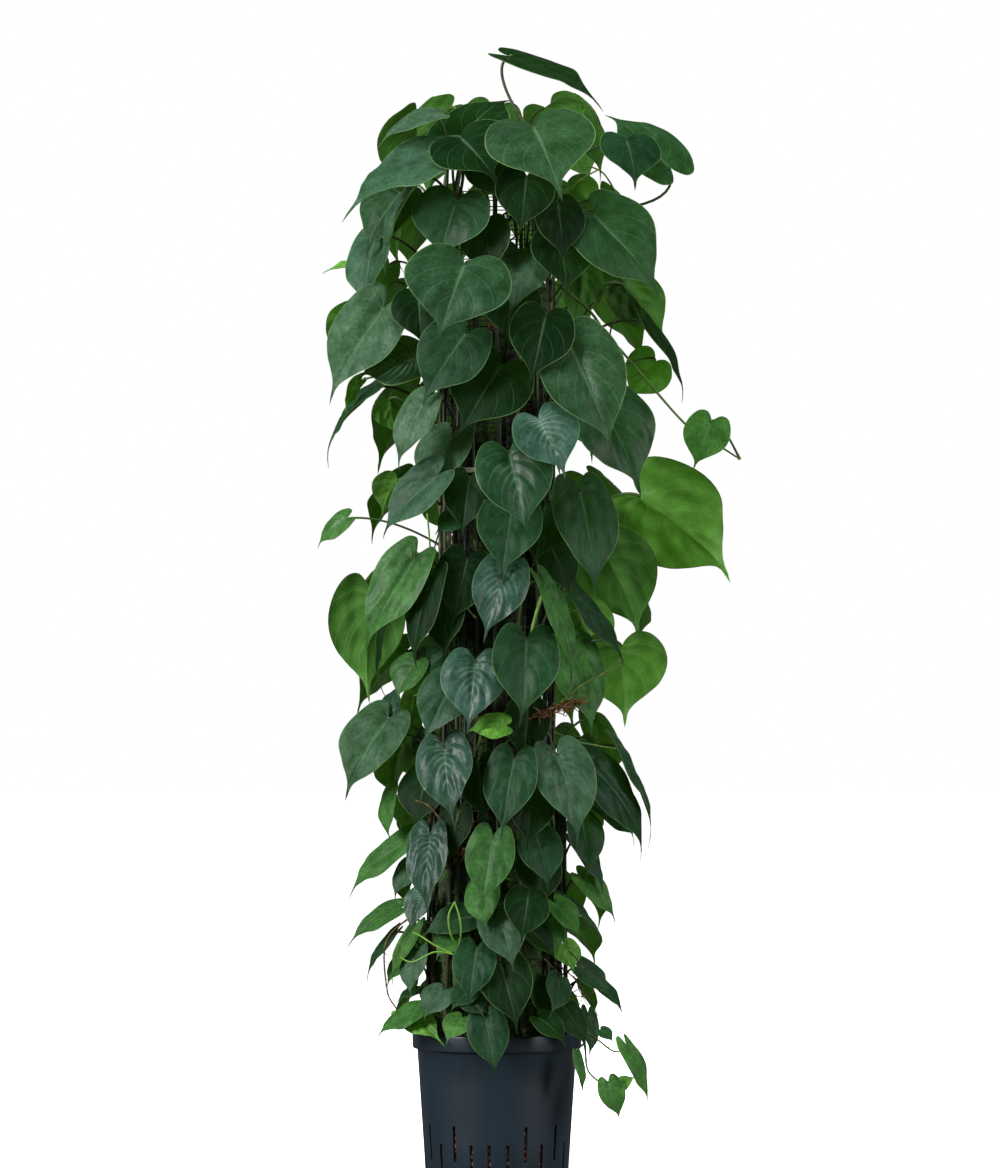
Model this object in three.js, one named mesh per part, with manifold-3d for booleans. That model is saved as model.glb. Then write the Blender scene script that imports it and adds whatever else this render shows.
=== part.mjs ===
// A heartleaf philodendron climbing a moss-filled mesh column in a plastic culture pot.
// Millimetres, +Z up, origin at the centre of the pot's base.
// The plant is seen from -Y, with +X to the right.
import * as THREE from 'three';
import { mergeVertices } from 'three/addons/utils/BufferGeometryUtils.js';
import Module from 'manifold-3d';

const wasm = await Module();
wasm.setup();

// Driving dimensions
const POT_HEIGHT = 190;
const POT_RIM_RADIUS = 110;
const POT_RIM_DEPTH = 21;
const POT_NECK_RADIUS = 104;
const POT_BASE_RADIUS = 92.5;
const POT_WALL = 2;
const POT_SIDES = 50;
const SLOT_COUNT = 25;
const SLOT_WIDTH = 4.4;
const SLOT_HEIGHT = 46;
const SLOT_FIRST_AZIMUTH = -6;
const SLOT_HIGH_FOOT = 27;
const SLOT_LOW_FOOT = 3.5;
const PEBBLE_TOP = 177;
const SOCKET_FLOOR = 20;
const FIT_GAP = 0.4;

const MESH_RADIUS = 65;
const MESH_TOP = 1278;
const MESH_WIRE_RADIUS = 1.5;
const MESH_SIDES = 16;
const MESH_UPRIGHTS = 8;
const MESH_HOOP_HEIGHTS = [600, 900, 1160, MESH_TOP];
const MOSS_RADIUS = 60.5;
const MOSS_TOP = 1108;
const MOSS_BUMP = 2.4;
const MOSS_SIDES = 12;
const MOSS_STEP = 110;
const MOSS_SEED = 77;
const SLEEVE_SIDES = 14;
const SLEEVE_SEED = 91;
const SLEEVE_TOP = 452;
const SLEEVE_RADIUS = 80;
const BAND_FOOT = 914;
const BAND_HEIGHT = 8;
const BAND_RADIUS = 67.2;

const STEM_RADIUS = 3.6;
const STEM_FOOT = 150;
const STEM_HOLE_RADIUS = 5.2;
const STEM_SWAY = 2.5;
const STEM_STEP = 185;
const STEM_TOPS = [
  1372, 1230, 1340, 1150, 1365, 1250, 1330, 1110,
  1350, 1210, 1375, 1180, 1335, 1240, 1360, 1120,
];
const ROD_RADIUS = 2.6;
const RODS = [
  { name: 'support_rod_left', azimuth: -33.75, top: 955 },
  { name: 'support_rod_right', azimuth: 56.25, top: 872 },
];
const BLADE_THICKNESS = 0.8;
const BLADE_CLEARANCE = 1.3;
// The blade bends down towards its tip from this share of its length, by this share of it
const DRIP_FROM = 0.7;
const DRIP_DROP = 0.05;
const LARGE_LEAF = 125;
const SMALL_LEAF = 80;
const NOTCH_SHARE = 0.04;
const STALK_CLEARANCE = 1.1;
const STALK_LEAST = 1.15;
const STALK_GAIN = 0.006;
// How far behind its blade a stalk leaves its stem, and the least height of that joint
const JOINT_REACH = 30;
const JOINT_GAIN = 0.5;
const JOINT_LOWEST = 187;
const FAR_TOP = 1392;
const FAR_FOOT = 214;
const FAR_STEP = 1.0;
// Rings of the far side hold five and six leaves in turn; each leaf strays by these spreads
const FAR_PLACES = [5, 6];
const FAR_APART = 29;
const FAR_SPREAD = { height: 30, azimuth: 12, yaw: 40, roll: 56 };
const FAR_REACH = [0.78, 0.2];
const FAR_UP = [10, 28];
const FAR_LENGTH = [0.85, 0.3];
const FAR_BREADTH = [0.8, 0.12];
// A front leaf's tip stays within this slope of its base in depth, and a leaf wider out than
// the foliage shell keeps this share of its radius in depth
const STEEPEST_SLOPE = 0.8;
const LEAST_FACING = 0.35;
const LEAST_SHARE = 0.1;
const SHOOT_SEED = 900;
const TRAILING_SEED = 950;
const FAR_SEED = 1000;
const RING_SEED = 5000;

// Distance of the stems from the column's axis, by height
const STEM_REACH = [[150, 90], [190, 90], [460, 87.5], [545, 73.5], [1285, 73.5], [1375, 45]];
// Radius of the foliage, by height
const SHELL = [[180, 112], [260, 122], [360, 128], [480, 132], [600, 140], [760, 150],
  [900, 158], [1050, 165], [1200, 165], [1320, 150], [1400, 120], [1470, 60]];
// Blade length on the far side, by height
const BLADE_LENGTH = [[200, 58], [300, 66], [450, 84], [600, 98], [800, 112], [1000, 122],
  [1200, 126], [1400, 112]];

// Each leaf that shows from the front: base x and z, tip x and z, blade width, depth as a share
// of the foliage radius (negative behind the axis), azimuth and rise of the upper face
const FRONT_LEAVES = [
  // Crown
  [20, 1457, 140, 1391, 90, 0.3, 45, 58],
  [224, 1312, 143, 1388, 90, 0.3, 30, 42],
  [168, 1345, 179, 1281, 85, 0.7, 20, 30],
  [47, 1356, 82, 1262, 145, 1.0, 0, 40],
  [-55, 1330, 21, 1407, 130, 0.5, -30, 50],
  [-45, 1340, 0, 1283, 115, 0.7, -10, 35],
  [-60, 1328, -200, 1240, 115, 0.8, -30, 55],
  [-80, 1375, -156, 1334, 80, 0.2, -30, 70],
  [-60, 1392, -110, 1340, 60, -0.2, -150, 30],
  [110, 1385, 45, 1380, 60, -0.2, 180, 60],
  // Upper column
  [-125, 1275, -170, 1195, 90, 0.8, -50, 20],
  [-100, 1290, -150, 1170, 60, 0.9, -75, 12],
  [-52, 1262, -75, 1180, 105, 0.8, -12, 20],
  [-41, 1178, -74, 1080, 142, 1.05, -5, 18],
  [-158, 1218, -170, 1120, 80, 0.6, -60, 15],
  [-165, 1185, -228, 1178, 50, 0.2, -30, 70],
  [-140, 1185, -155, 1140, 50, 0.1, -140, 15],
  [-146, 1126, -220, 1005, 95, 1.0, -15, 18],
  [-180, 1120, -215, 1060, 70, 0.1, -150, 15],
  [-100, 1140, -96, 1072, 75, 0.75, -20, 20],
  [-41, 1090, -98, 1000, 95, 0.85, -10, 18],
  [-105, 1060, -182, 1037, 90, 0.7, -25, 40],
  [-177, 1035, -198, 994, 30, 0.1, -120, 15],
  [-140, 1010, -130, 962, 50, 0.1, -150, 15],
  [125, 1245, 212, 1137, 115, 1.0, 20, 18],
  [165, 1160, 222, 1085, 75, 0.2, 150, 15],
  [195, 1110, 248, 1010, 65, 0.4, 75, 15],
  [112, 1178, 100, 1098, 60, 0.3, 165, 10],
  [80, 1215, 90, 1138, 85, 0.75, 15, 20],
  [90, 1290, 115, 1240, 80, -0.5, 180, 20],
  [60, 1280, 35, 1235, 50, 0.6, 10, 20],
  [28, 1278, -38, 1262, 40, 0.6, 0, 70],
  [30, 1196, 20, 1112, 80, 0.6, 0, 20],
  [62, 1112, 42, 1022, 85, 0.6, 5, 20],
  // Middle
  [93, 1078, 151, 936, 112, 1.05, 8, 15],
  [205, 1060, 165, 1010, 65, -0.1, 160, 15],
  [5, 1050, -48, 960, 115, 0.7, -5, 20],
  [53, 980, 90, 906, 88, 1.1, 5, 20],
  [16, 937, 38, 830, 100, 1.0, 3, 18],
  [135, 1005, 186, 885, 115, 0.8, 25, 15],
  [187, 885, 308, 778, 150, 0.3, 160, 12],
  [107, 890, 127, 753, 88, 0.95, 20, 15],
  [20, 870, 5, 775, 85, 0.8, 0, 20],
  [12, 792, -18, 697, 72, 1.05, 0, 15],
  [-92, 1005, -130, 918, 60, 1.0, -35, 15],
  [-76, 910, -151, 832, 70, 0.95, -35, 20],
  [-130, 905, -150, 860, 60, 0.2, -150, 15],
  [-195, 856, -235, 819, 45, 0.5, -50, 30],
  [-106, 803, -173, 684, 80, 0.9, -30, 15],
  [-165, 760, -168, 616, 105, 0.3, -165, 10],
  [-85, 780, -108, 662, 60, 0.85, -40, 12],
  [-128, 745, -150, 621, 45, 0.5, -75, 10],
  [-105, 670, -130, 620, 60, 0.6, -40, 20],
  [-108, 625, -113, 553, 45, 0.3, -150, 15],
  [-142, 595, -197, 492, 85, 0.8, -25, 18],
  [-140, 602, -129, 640, 32, 0.5, -40, 50],
  [-28, 672, -36, 582, 85, 0.9, -5, 20],
  [-55, 645, -95, 565, 70, 0.8, -25, 20],
  [38, 700, 32, 590, 88, 1.0, 4, 18],
  [104, 755, 170, 665, 50, 0.7, 60, 20],
  [61, 770, 98, 636, 50, 0.95, 55, 12],
  [70, 820, 95, 750, 60, 0.5, 25, 20],
  [100, 690, 125, 575, 80, 0.5, 30, 15],
  [140, 815, 188, 700, 115, 0.1, 160, 12],
  [105, 735, 140, 660, 80, 0.2, 160, 15],
  [162, 690, 168, 586, 118, 0.3, 180, 15],
  [-50, 855, -80, 835, 40, 0.8, -20, 40],
  [-69, 680, -95, 655, 50, 0.6, -30, 25],
  [-58, 962, -82, 872, 80, 0.62, -15, 20],
  [62, 872, 46, 790, 75, 0.6, 8, 15],
  [-38, 802, -58, 716, 75, 0.62, -10, 15],
  // Lower column
  [-68, 563, -55, 462, 75, 1.0, -15, 18],
  [10, 590, -40, 583, 42, 1.0, -10, 36],
  [22, 547, 5, 446, 72, 0.95, 0, 18],
  [77, 552, 107, 437, 82, 1.0, 18, 15],
  [155, 560, 206, 434, 60, 0.4, 84, 10],
  [120, 540, 195, 416, 75, 0.75, 50, 15],
  [118, 495, 185, 432, 55, 0.5, 65, 20],
  [110, 465, 119, 392, 55, 0.6, 30, 20],
  [105, 440, 140, 370, 40, 0.5, 65, 20],
  [110, 392, 156, 333, 40, 0.6, 40, 20],
  [-90, 525, -105, 452, 75, 0.6, -30, 20],
  [-140, 503, -139, 437, 35, 0.5, -50, 15],
  [-118, 492, -125, 448, 35, 0.3, -150, 15],
  [-5, 447, -20, 355, 64, 1.0, -3, 15],
  [-20, 385, -13, 326, 50, 0.85, -8, 20],
  [51, 448, 67, 378, 60, 0.95, 15, 18],
  [50, 420, 60, 351, 62, 0.8, 15, 20],
  [-86, 449, -90, 346, 58, 0.95, -20, 15],
  [-115, 440, -197, 365, 55, 0.5, -50, 30],
  [-110, 410, -134, 361, 40, 0.5, -45, 20],
  [-126, 350, -196, 302, 42, 0.5, -40, 40],
  [-97, 372, -113, 322, 40, 0.7, -30, 20],
  [0, 350, 23, 274, 62, 0.9, 5, 20],
  [75, 360, 108, 313, 40, 0.8, 30, 30],
  [85, 366, 141, 310, 35, 0.5, 60, 30],
  // Foot
  [-26, 304, -36, 229, 57, 1.0, -5, 18],
  [5, 285, 28, 197, 70, 0.95, 3, 18],
  [-15, 216, 0, 143, 54, 1.08, 0, 12],
  [-107, 329, -139, 252, 30, 0.5, -60, 15],
  [-132, 319, -172, 257, 35, 0.4, -70, 20],
  [-50, 320, -80, 290, 50, 0.8, -20, 40],
  [-105, 297, -113, 236, 45, 0.6, -40, 20],
  [-118, 290, -145, 247, 45, 0.3, -60, 25],
  [-100, 246, -131, 231, 30, 0.5, -40, 60],
  [-100, 225, -158, 188, 45, 0.8, -40, 45],
  [-118, 218, -68, 181, 45, 1.1, -10, 50],
  [-45, 215, -66, 183, 40, 1.1, -20, 35],
  [-70, 248, -95, 212, 50, 0.95, -30, 30],
  [-35, 252, -60, 225, 40, 0.95, -15, 40],
  [-35, 240, -16, 218, 35, 1.05, -5, 40],
  [40, 330, 78, 287, 45, 0.85, 40, 30],
  [65, 338, 78, 292, 40, 0.6, 25, 20],
  [85, 305, 100, 268, 45, 0.5, 35, 20],
  [105, 275, 150, 235, 45, 0.6, 45, 30],
  [120, 262, 168, 203, 35, 0.4, 65, 25],
  [80, 262, 70, 218, 40, 0.85, 25, 25],
  [50, 257, 75, 196, 40, 1.0, 35, 15],
  [55, 215, 90, 180, 40, 1.15, 25, 35],
  [85, 230, 118, 172, 45, 1.1, 35, 25],
  [118, 215, 120, 158, 35, 0.9, 50, 15],
  // In the shade of the crown, close to the column
  [38, 1292, 30, 1215, 78, 0.5, 0, 15],
  [78, 1258, 84, 1180, 70, 0.55, 20, 15],
  [-15, 1230, -2, 1160, 70, 0.55, -5, 15],
  [20, 1150, 12, 1075, 80, 0.55, 0, 18],
  [-10, 1322, 10, 1255, 75, 0.55, -8, 15],
  // In the shade lower down, close to the column
  [-30, 345, -100, 318, 48, 0.75, -20, 35],
  [40, 372, 30, 312, 60, 0.8, 10, 20],
  [-24, 540, -16, 462, 62, 0.66, -5, 15],
  [44, 505, 38, 430, 62, 0.66, 10, 15],
  [40, 612, 34, 536, 62, 0.64, 5, 15],
  [-35, 905, -45, 830, 60, 0.62, -20, 15],
  [-62, 745, -66, 672, 56, 0.64, -30, 15],
  [-50, 480, -56, 412, 50, 0.64, -30, 15],
];

// Branches of the climbing stems, each from the stem that carries it to its free end
const FREE_SHOOT = {
  stem: 11,
  radius: 2.2,
  points: [[67, -28, 1168], [118, -44, 1126], [140, -50, 1094], [159, -52, 1074],
    [188, -54, 1040], [234, -52, 987], [262, -48, 962], [288, -44, 949], [315, -40, 932]],
};
const DANGLING_ROOT = {
  stem: 5,
  radius: 1.5,
  points: [[-80, -33, 352], [-118, -46, 336], [-144, -52, 305], [-142, -54, 249],
    [-132, -54, 226], [-107, -56, 196]],
};
const BRANCHES = [FREE_SHOOT, DANGLING_ROOT];
// The stem that hangs over the rim, with its side shoot and its small leaves
const TRAILING_STEM = {
  radius: 2,
  points: [[53, -79, 150], [53, -79, 182], [68, -86, 206], [96, -86, 207], [112, -88, 180],
    [117, -90, 146], [137, -92, 128], [152, -92, 121]],
};
const TRAILING_SIDE = {
  radius: 1.6,
  points: [[96, -86, 207], [128, -84, 186], [151, -86, 170], [166, -86, 175]],
};
const SHOOT_LEAVES = [
  { joint: [315, -40, 932], base: [277, -52, 980], tip: [253, -60, 918],
    width: 62, face: -5, up: 12 },
];
const TRAILING_LEAVES = [
  { joint: [166, -86, 175], base: [167, -92, 178], tip: [197, -100, 100], width: 30, face: 40, up: 10 },
  { joint: [137, -92, 128], base: [143, -97, 131], tip: [159, -104, 82], width: 35, face: 5, up: 12 },
  { joint: [152, -92, 121], base: [155, -88, 124], tip: [180, -86, 138], width: 22, face: 0, up: 40 },
  { joint: [112, -88, 180], base: [104, -101, 166], tip: [110, -106, 114], width: 20, face: 50, up: 5 },
  { joint: [128, -84, 186], base: [134, -90, 198], tip: [150, -98, 182], width: 20, face: 10, up: 40 },
];

// Steps tried in turn until a leaf and its stalk clear what already stands
const PUSHES = [0, -6, 6, -12, 12, -18, 18, -24, 24, -31, 31, -38, 38, -46, 46, -55, 55];
const TURNS = [0, 14, -14];
const RISES = [0.6, 0.3, 0.9, 0.05, 1.2];
const BOWS = [0, 16, -16, 32, -32];
const STEMS_TRIED = 4;

const COLOURS = {
  pot: 0x26323c,
  pebbles: 0x7a4a38,
  moss: 0x4a3a22,
  wire: 0x15181a,
  band: 0xb9b39a,
  plant: 0x2f5a3f,
};

// Small helpers
const point = (x, y, z) => new THREE.Vector3(x, y, z);
const radians = THREE.MathUtils.degToRad;

function around(azimuth, radius, z) {
  const turn = radians(azimuth);
  return point(radius * Math.sin(turn), -radius * Math.cos(turn), z);
}

function facing(azimuth, up) {
  const flat = around(azimuth, Math.cos(radians(up)), 0);
  flat.z = Math.sin(radians(up));
  return flat;
}

function curveAt(curve, height) {
  if (height <= curve[0][0]) return curve[0][1];
  for (let i = 1; i < curve.length; i += 1) {
    const [z0, r0] = curve[i - 1];
    const [z1, r1] = curve[i];
    if (height <= z1) return r0 + ((r1 - r0) * (height - z0)) / (z1 - z0);
  }
  return curve[curve.length - 1][1];
}

function randomFrom(seed) {
  let state = (seed * 7919 + 104729) % 2147483647;
  const draw = () => {
    state = (state * 16807) % 2147483647;
    return state / 2147483647;
  };
  draw();
  draw();
  return draw;
}

// Solids and meshes
function solidOf(positions, triangles) {
  const mesh = new wasm.Mesh({
    numProp: 3,
    vertProperties: Float32Array.from(positions.flatMap((p) => [p.x, p.y, p.z])),
    triVerts: Uint32Array.from(triangles.flat()),
  });
  return new wasm.Manifold(mesh);
}

function solidOfGeometry(geometry) {
  const bare = geometry.clone();
  bare.deleteAttribute('normal');
  bare.deleteAttribute('uv');
  const merged = mergeVertices(bare, 1e-4);
  const mesh = new wasm.Mesh({
    numProp: 3,
    vertProperties: Float32Array.from(merged.attributes.position.array),
    triVerts: Uint32Array.from(merged.index.array),
  });
  return new wasm.Manifold(mesh);
}

function geometryOf(solid) {
  const mesh = solid.getMesh();
  const geometry = new THREE.BufferGeometry();
  geometry.setAttribute('position', new THREE.BufferAttribute(mesh.vertProperties, 3));
  geometry.setIndex(new THREE.BufferAttribute(mesh.triVerts, 1));
  geometry.computeVertexNormals();
  return geometry;
}

function crosses(a, b) {
  const shared = a.intersect(b);
  const hit = !shared.isEmpty();
  shared.delete();
  return hit;
}

// A closed ring or cup turned about the column's axis, facets centred on the pot's slots
function turned(profile, sides, firstAzimuth = 0) {
  const points = profile.map(([r, z]) => new THREE.Vector2(r, z));
  const start = radians(firstAzimuth - 180 / sides);
  const geometry = new THREE.LatheGeometry(points, sides, start);
  geometry.rotateX(Math.PI / 2);
  return geometry;
}

// A closed tube through the points, with its corners carried along without twist
function tubeSolid(points, radii, sides) {
  const positions = [];
  const triangles = [];
  let normal = null;
  points.forEach((centre, i) => {
    const before = points[Math.max(i - 1, 0)];
    const after = points[Math.min(i + 1, points.length - 1)];
    const tangent = after.clone().sub(before).normalize();
    if (!normal) normal = Math.abs(tangent.z) > 0.7 ? point(1, 0, 0) : point(0, 0, 1);
    normal = normal.clone().addScaledVector(tangent, -normal.dot(tangent)).normalize();
    const side = tangent.clone().cross(normal);
    for (let j = 0; j < sides; j += 1) {
      const turn = (2 * Math.PI * j) / sides;
      const corner = centre.clone();
      corner.addScaledVector(normal, radii[i] * Math.cos(turn));
      corner.addScaledVector(side, radii[i] * Math.sin(turn));
      positions.push(corner);
    }
  });
  for (let i = 0; i < points.length - 1; i += 1) {
    for (let j = 0; j < sides; j += 1) {
      const a = i * sides + j;
      const b = i * sides + ((j + 1) % sides);
      triangles.push([a, b, b + sides], [a, b + sides, a + sides]);
    }
  }
  const last = (points.length - 1) * sides;
  for (let j = 1; j < sides - 1; j += 1) {
    triangles.push([0, j + 1, j], [last, last + j, last + j + 1]);
  }
  return solidOf(positions, triangles);
}

// Half of the heart outline, from the notch round a lobe towards the tip: across, along
const HEART_LARGE = [[0.36, -0.17], [0.86, -0.02], [0.99, 0.28], [0.66, 0.64], [0.1, 0.88]];
const HEART_MIDDLE = [[0.4, -0.16], [0.97, 0.08], [0.88, 0.44], [0.18, 0.84]];
const HEART_SMALL = [[0.55, -0.15], [1.0, 0.2], [0.44, 0.7]];

// Where a leaf hangs: base, direction of its midrib, face, side, length and half width
function leafFrame(base, tip, normal, width, seed) {
  const along = tip.clone().sub(base);
  const length = along.length();
  along.divideScalar(length);
  const face = normal.clone().addScaledVector(along, -normal.dot(along)).normalize();
  const side = face.clone().cross(along);
  const draw = randomFrom(seed);
  const arch = 0.03 + 0.06 * draw();
  const fold = 0.05 + 0.08 * draw();
  const wave = 0.03 * (draw() - 0.5);
  return { base, along, face, side, length, half: width / 2, arch, fold, wave };
}

// Height of the blade above the plane of its frame
function bladeHeight(leaf, u, v) {
  const across = Math.abs(v);
  const arched = leaf.length * leaf.arch * 4 * u * (1 - u);
  const folded = leaf.half * 2 * leaf.fold * across * (1.6 - across);
  const waved = leaf.length * leaf.wave * v * across * Math.sin(5 * u + 1);
  const bent = Math.max(0, (u - DRIP_FROM) / (1 - DRIP_FROM));
  return arched + folded + waved - leaf.length * DRIP_DROP * bent * bent;
}

function bladePoint(leaf, u, v, lift) {
  return leaf.base.clone()
    .addScaledVector(leaf.along, u * leaf.length)
    .addScaledVector(leaf.side, v * leaf.half)
    .addScaledVector(leaf.face, bladeHeight(leaf, u, v) + lift);
}

// The leaf stalk: an arc from the stem, up behind the blade and over into its notch
function stalkPoints(joint, leaf, bow) {
  const end = bladePoint(leaf, 0, 0, 0);
  const reach = 0.3 * joint.distanceTo(end);
  const aside = point(end.y - joint.y, joint.x - end.x, 0).normalize();
  const crest = end.clone().addScaledVector(leaf.along, -reach)
    .addScaledVector(leaf.face, -reach).addScaledVector(aside, bow);
  const middle = joint.clone().multiplyScalar(0.25)
    .addScaledVector(crest, 0.5).addScaledVector(end, 0.25);
  return [joint, middle, end];
}

const stalkRadius = (leaf) => STALK_LEAST + STALK_GAIN * leaf.length;

// Three-cornered rings at the stalk's root and middle, carried back from the blade's notch
function stalkRings(points, leaf, radius) {
  const [joint, middle, end] = points;
  const tangents = [middle.clone().sub(joint).normalize(), end.clone().sub(joint).normalize()];
  const rings = [];
  let across = leaf.side;
  for (const i of [1, 0]) {
    const tangent = tangents[i];
    across = across.clone().addScaledVector(tangent, -across.dot(tangent)).normalize();
    const rise = tangent.clone().cross(across);
    const ring = [[-0.87, 0.5], [0.87, 0.5], [0, -1]].map(([a, b]) => points[i].clone()
      .addScaledVector(across, a * radius).addScaledVector(rise, b * radius));
    rings.unshift(ring);
  }
  return rings;
}

// A thin heart-shaped blade, its two faces split into triangles alike, with its stalk if it has
// one: the stalk meets the three-cornered end of the notch
function leafSolid(leaf, thickness, stalk) {
  const large = leaf.length >= LARGE_LEAF;
  let lobe = leaf.length < SMALL_LEAF ? HEART_SMALL : HEART_MIDDLE;
  if (large) lobe = HEART_LARGE;
  const ribs = large ? [0.3, 0.65] : [0.38];
  const outline = [[0, 0]];
  lobe.forEach(([v, u]) => outline.push([-v, u]));
  outline.push([0, 1]);
  [...lobe].reverse().forEach(([v, u]) => outline.push([v, u]));
  const count = outline.length;
  const rib = count;
  const turnPoint = 3;
  const top = [];
  for (let i = 0; i < count; i += 1) {
    const nearTip = large && i >= turnPoint && i < count - turnPoint;
    top.push([i, (i + 1) % count, nearTip ? rib + 1 : rib]);
  }
  if (large) {
    top.push([turnPoint, rib + 1, rib], [count - turnPoint, rib, rib + 1]);
  }
  const flat = [...outline, ...ribs.map((u) => [0, u])];
  const under = flat.length;
  const positions = [];
  flat.forEach(([v, u]) => positions.push(bladePoint(leaf, u, v, thickness / 2)));
  flat.forEach(([v, u]) => positions.push(bladePoint(leaf, u, v, -thickness / 2)));
  const triangles = top.map(([a, b, c]) => [a + under, c + under, b + under]);
  // On the upper face the notch's end is a short edge from left to right
  const left = positions.push(bladePoint(leaf, 0, -NOTCH_SHARE, thickness / 2)) - 1;
  positions[0] = bladePoint(leaf, 0, NOTCH_SHARE, thickness / 2);
  top[0][0] = left;
  triangles.push(...top, [left, rib, 0]);
  for (let i = 0; i < count; i += 1) {
    const next = (i + 1) % count;
    const upper = i === 0 ? left : i;
    triangles.push([i + under, next + under, next], [i + under, next, upper]);
  }
  if (!stalk) {
    triangles.push([left, 0, under]);
    return solidOf(positions, triangles);
  }
  const [root, middle] = stalkRings(stalk, leaf, stalkRadius(leaf));
  const first = positions.length;
  positions.push(...root, ...middle);
  const rings = [[0, 1, 2].map((j) => first + j), [0, 1, 2].map((j) => first + 3 + j), [left, 0, under]];
  triangles.push([rings[0][0], rings[0][1], rings[0][2]]);
  for (const [a, b] of [[rings[0], rings[1]], [rings[1], rings[2]]]) {
    for (let j = 0; j < 3; j += 1) {
      const k = (j + 1) % 3;
      triangles.push([a[j], b[j], b[k]], [a[j], b[k], a[k]]);
    }
  }
  return solidOf(positions, triangles);
}

// Climbing stems
const STEMS = STEM_TOPS.map((top, i) => ({
  name: `vine_${String(i + 1).padStart(2, '0')}`,
  azimuth: -180 + (360 * i) / STEM_TOPS.length,
  top,
}));

function stemPoint(stem, z) {
  const sway = z > 200 ? STEM_SWAY * Math.sin((z - 200) / 95 + stem.azimuth) : 0;
  return around(stem.azimuth + sway, curveAt(STEM_REACH, z), z);
}

function stemSolid(stem) {
  const heights = [STEM_FOOT, 300, 460, 545];
  while (heights[heights.length - 1] + STEM_STEP < stem.top) {
    heights.push(heights[heights.length - 1] + STEM_STEP);
  }
  heights.push(stem.top);
  const centres = heights.map((z) => stemPoint(stem, z));
  const radii = heights.map((z) => STEM_RADIUS * (1 - 0.25 * (z / 1400)));
  return tubeSolid(centres, radii, 4);
}

// A front leaf moved towards or away from the viewer by push, its face turned by turn
function frontLeaf(row, seed, push, turn) {
  const [bx, bz, tx, tz, width, depth, face, up] = row;
  const shell = curveAt(SHELL, bz);
  const half = Math.sqrt(Math.max(shell * shell - bx * bx, LEAST_SHARE * shell * shell));
  const by = -depth * half + push;
  const normal = facing(face + turn, up);
  const dx = tx - bx;
  const dz = tz - bz;
  const most = STEEPEST_SLOPE * Math.hypot(dx, dz);
  let dy = 0;
  if (Math.abs(normal.y) > LEAST_FACING) dy = -(dx * normal.x + dz * normal.z) / normal.y;
  dy = Math.min(Math.max(dy, -most), most);
  return leafFrame(point(bx, by, bz), point(tx, by + dy, tz), normal, width, seed);
}

// A leaf of the far side, placed by rule round the column and moved in or out by push
function farLeaf(spot, seed, push, turn) {
  const base = around(spot.azimuth, curveAt(SHELL, spot.z) * spot.reach - push, spot.z);
  const normal = facing(spot.azimuth + spot.yaw + turn, spot.up);
  const down = point(0, 0, -1).addScaledVector(normal, normal.z).normalize();
  down.applyAxisAngle(normal, radians(spot.roll));
  const tip = base.clone().addScaledVector(down, spot.length);
  return leafFrame(base, tip, normal, spot.length * spot.breadth, seed);
}

function farSpots() {
  const spots = [];
  let z = FAR_TOP;
  let level = 0;
  while (z > FAR_FOOT) {
    const draw = randomFrom(RING_SEED + level);
    const length = curveAt(BLADE_LENGTH, z);
    const spread = (width) => width * (draw() - 0.5);
    const within = ([least, more]) => least + more * draw();
    const places = FAR_PLACES[level % 2];
    for (let i = 0; i < places; i += 1) {
      spots.push({
        z: z + spread(FAR_SPREAD.height),
        azimuth: 180 + FAR_APART * (i - (places - 1) / 2) + spread(FAR_SPREAD.azimuth),
        reach: within(FAR_REACH),
        yaw: spread(FAR_SPREAD.yaw),
        up: within(FAR_UP),
        roll: spread(FAR_SPREAD.roll),
        length: length * within(FAR_LENGTH),
        breadth: within(FAR_BREADTH),
      });
    }
    z -= FAR_STEP * length;
    level += 1;
  }
  return spots;
}

// What the leaves have to clear: each entry is a solid with its box and its owner
const placed = [];

function place(solid, owner) {
  const { min, max } = solid.boundingBox();
  placed.push({ solid, min, max, owner });
}

function isClear(solid, exempt) {
  const box = solid.boundingBox();
  return placed.every((other) => {
    if (other.owner === exempt) return true;
    for (let axis = 0; axis < 3; axis += 1) {
      if (box.min[axis] > other.max[axis] || box.max[axis] < other.min[axis]) return true;
    }
    return !crosses(solid, other.solid);
  });
}

function stemsNear(base) {
  const azimuth = THREE.MathUtils.radToDeg(Math.atan2(base.x, -base.y));
  const apart = (stem) => Math.abs(((azimuth - stem.azimuth + 540) % 360) - 180);
  return [...STEMS].sort((a, b) => apart(a) - apart(b)).slice(0, STEMS_TRIED);
}

// The first stalk that clears the leaf's own blade and all that already stands
function clearStalk(leaf, blade) {
  const reach = JOINT_REACH + JOINT_GAIN * leaf.length;
  const radius = stalkRadius(leaf) + STALK_CLEARANCE;
  for (const stem of stemsNear(leaf.base)) {
    for (const rise of RISES) {
      const z = Math.max(Math.min(leaf.base.z - rise * reach, stem.top - 7), JOINT_LOWEST);
      const joint = stemPoint(stem, z);
      for (const bow of BOWS) {
        const points = stalkPoints(joint, leaf, bow);
        const short = points[1].clone().lerp(points[2], 0.85);
        const fat = tubeSolid([joint, points[1], short], [radius, radius, radius], 3);
        const clear = !crosses(fat, blade) && isClear(fat, stem.name);
        fat.delete();
        if (clear) return { stem, points };
      }
    }
  }
  return null;
}

const grown = new Map(STEMS.map((stem) => [stem.name, [stemSolid(stem)]]));

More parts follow.
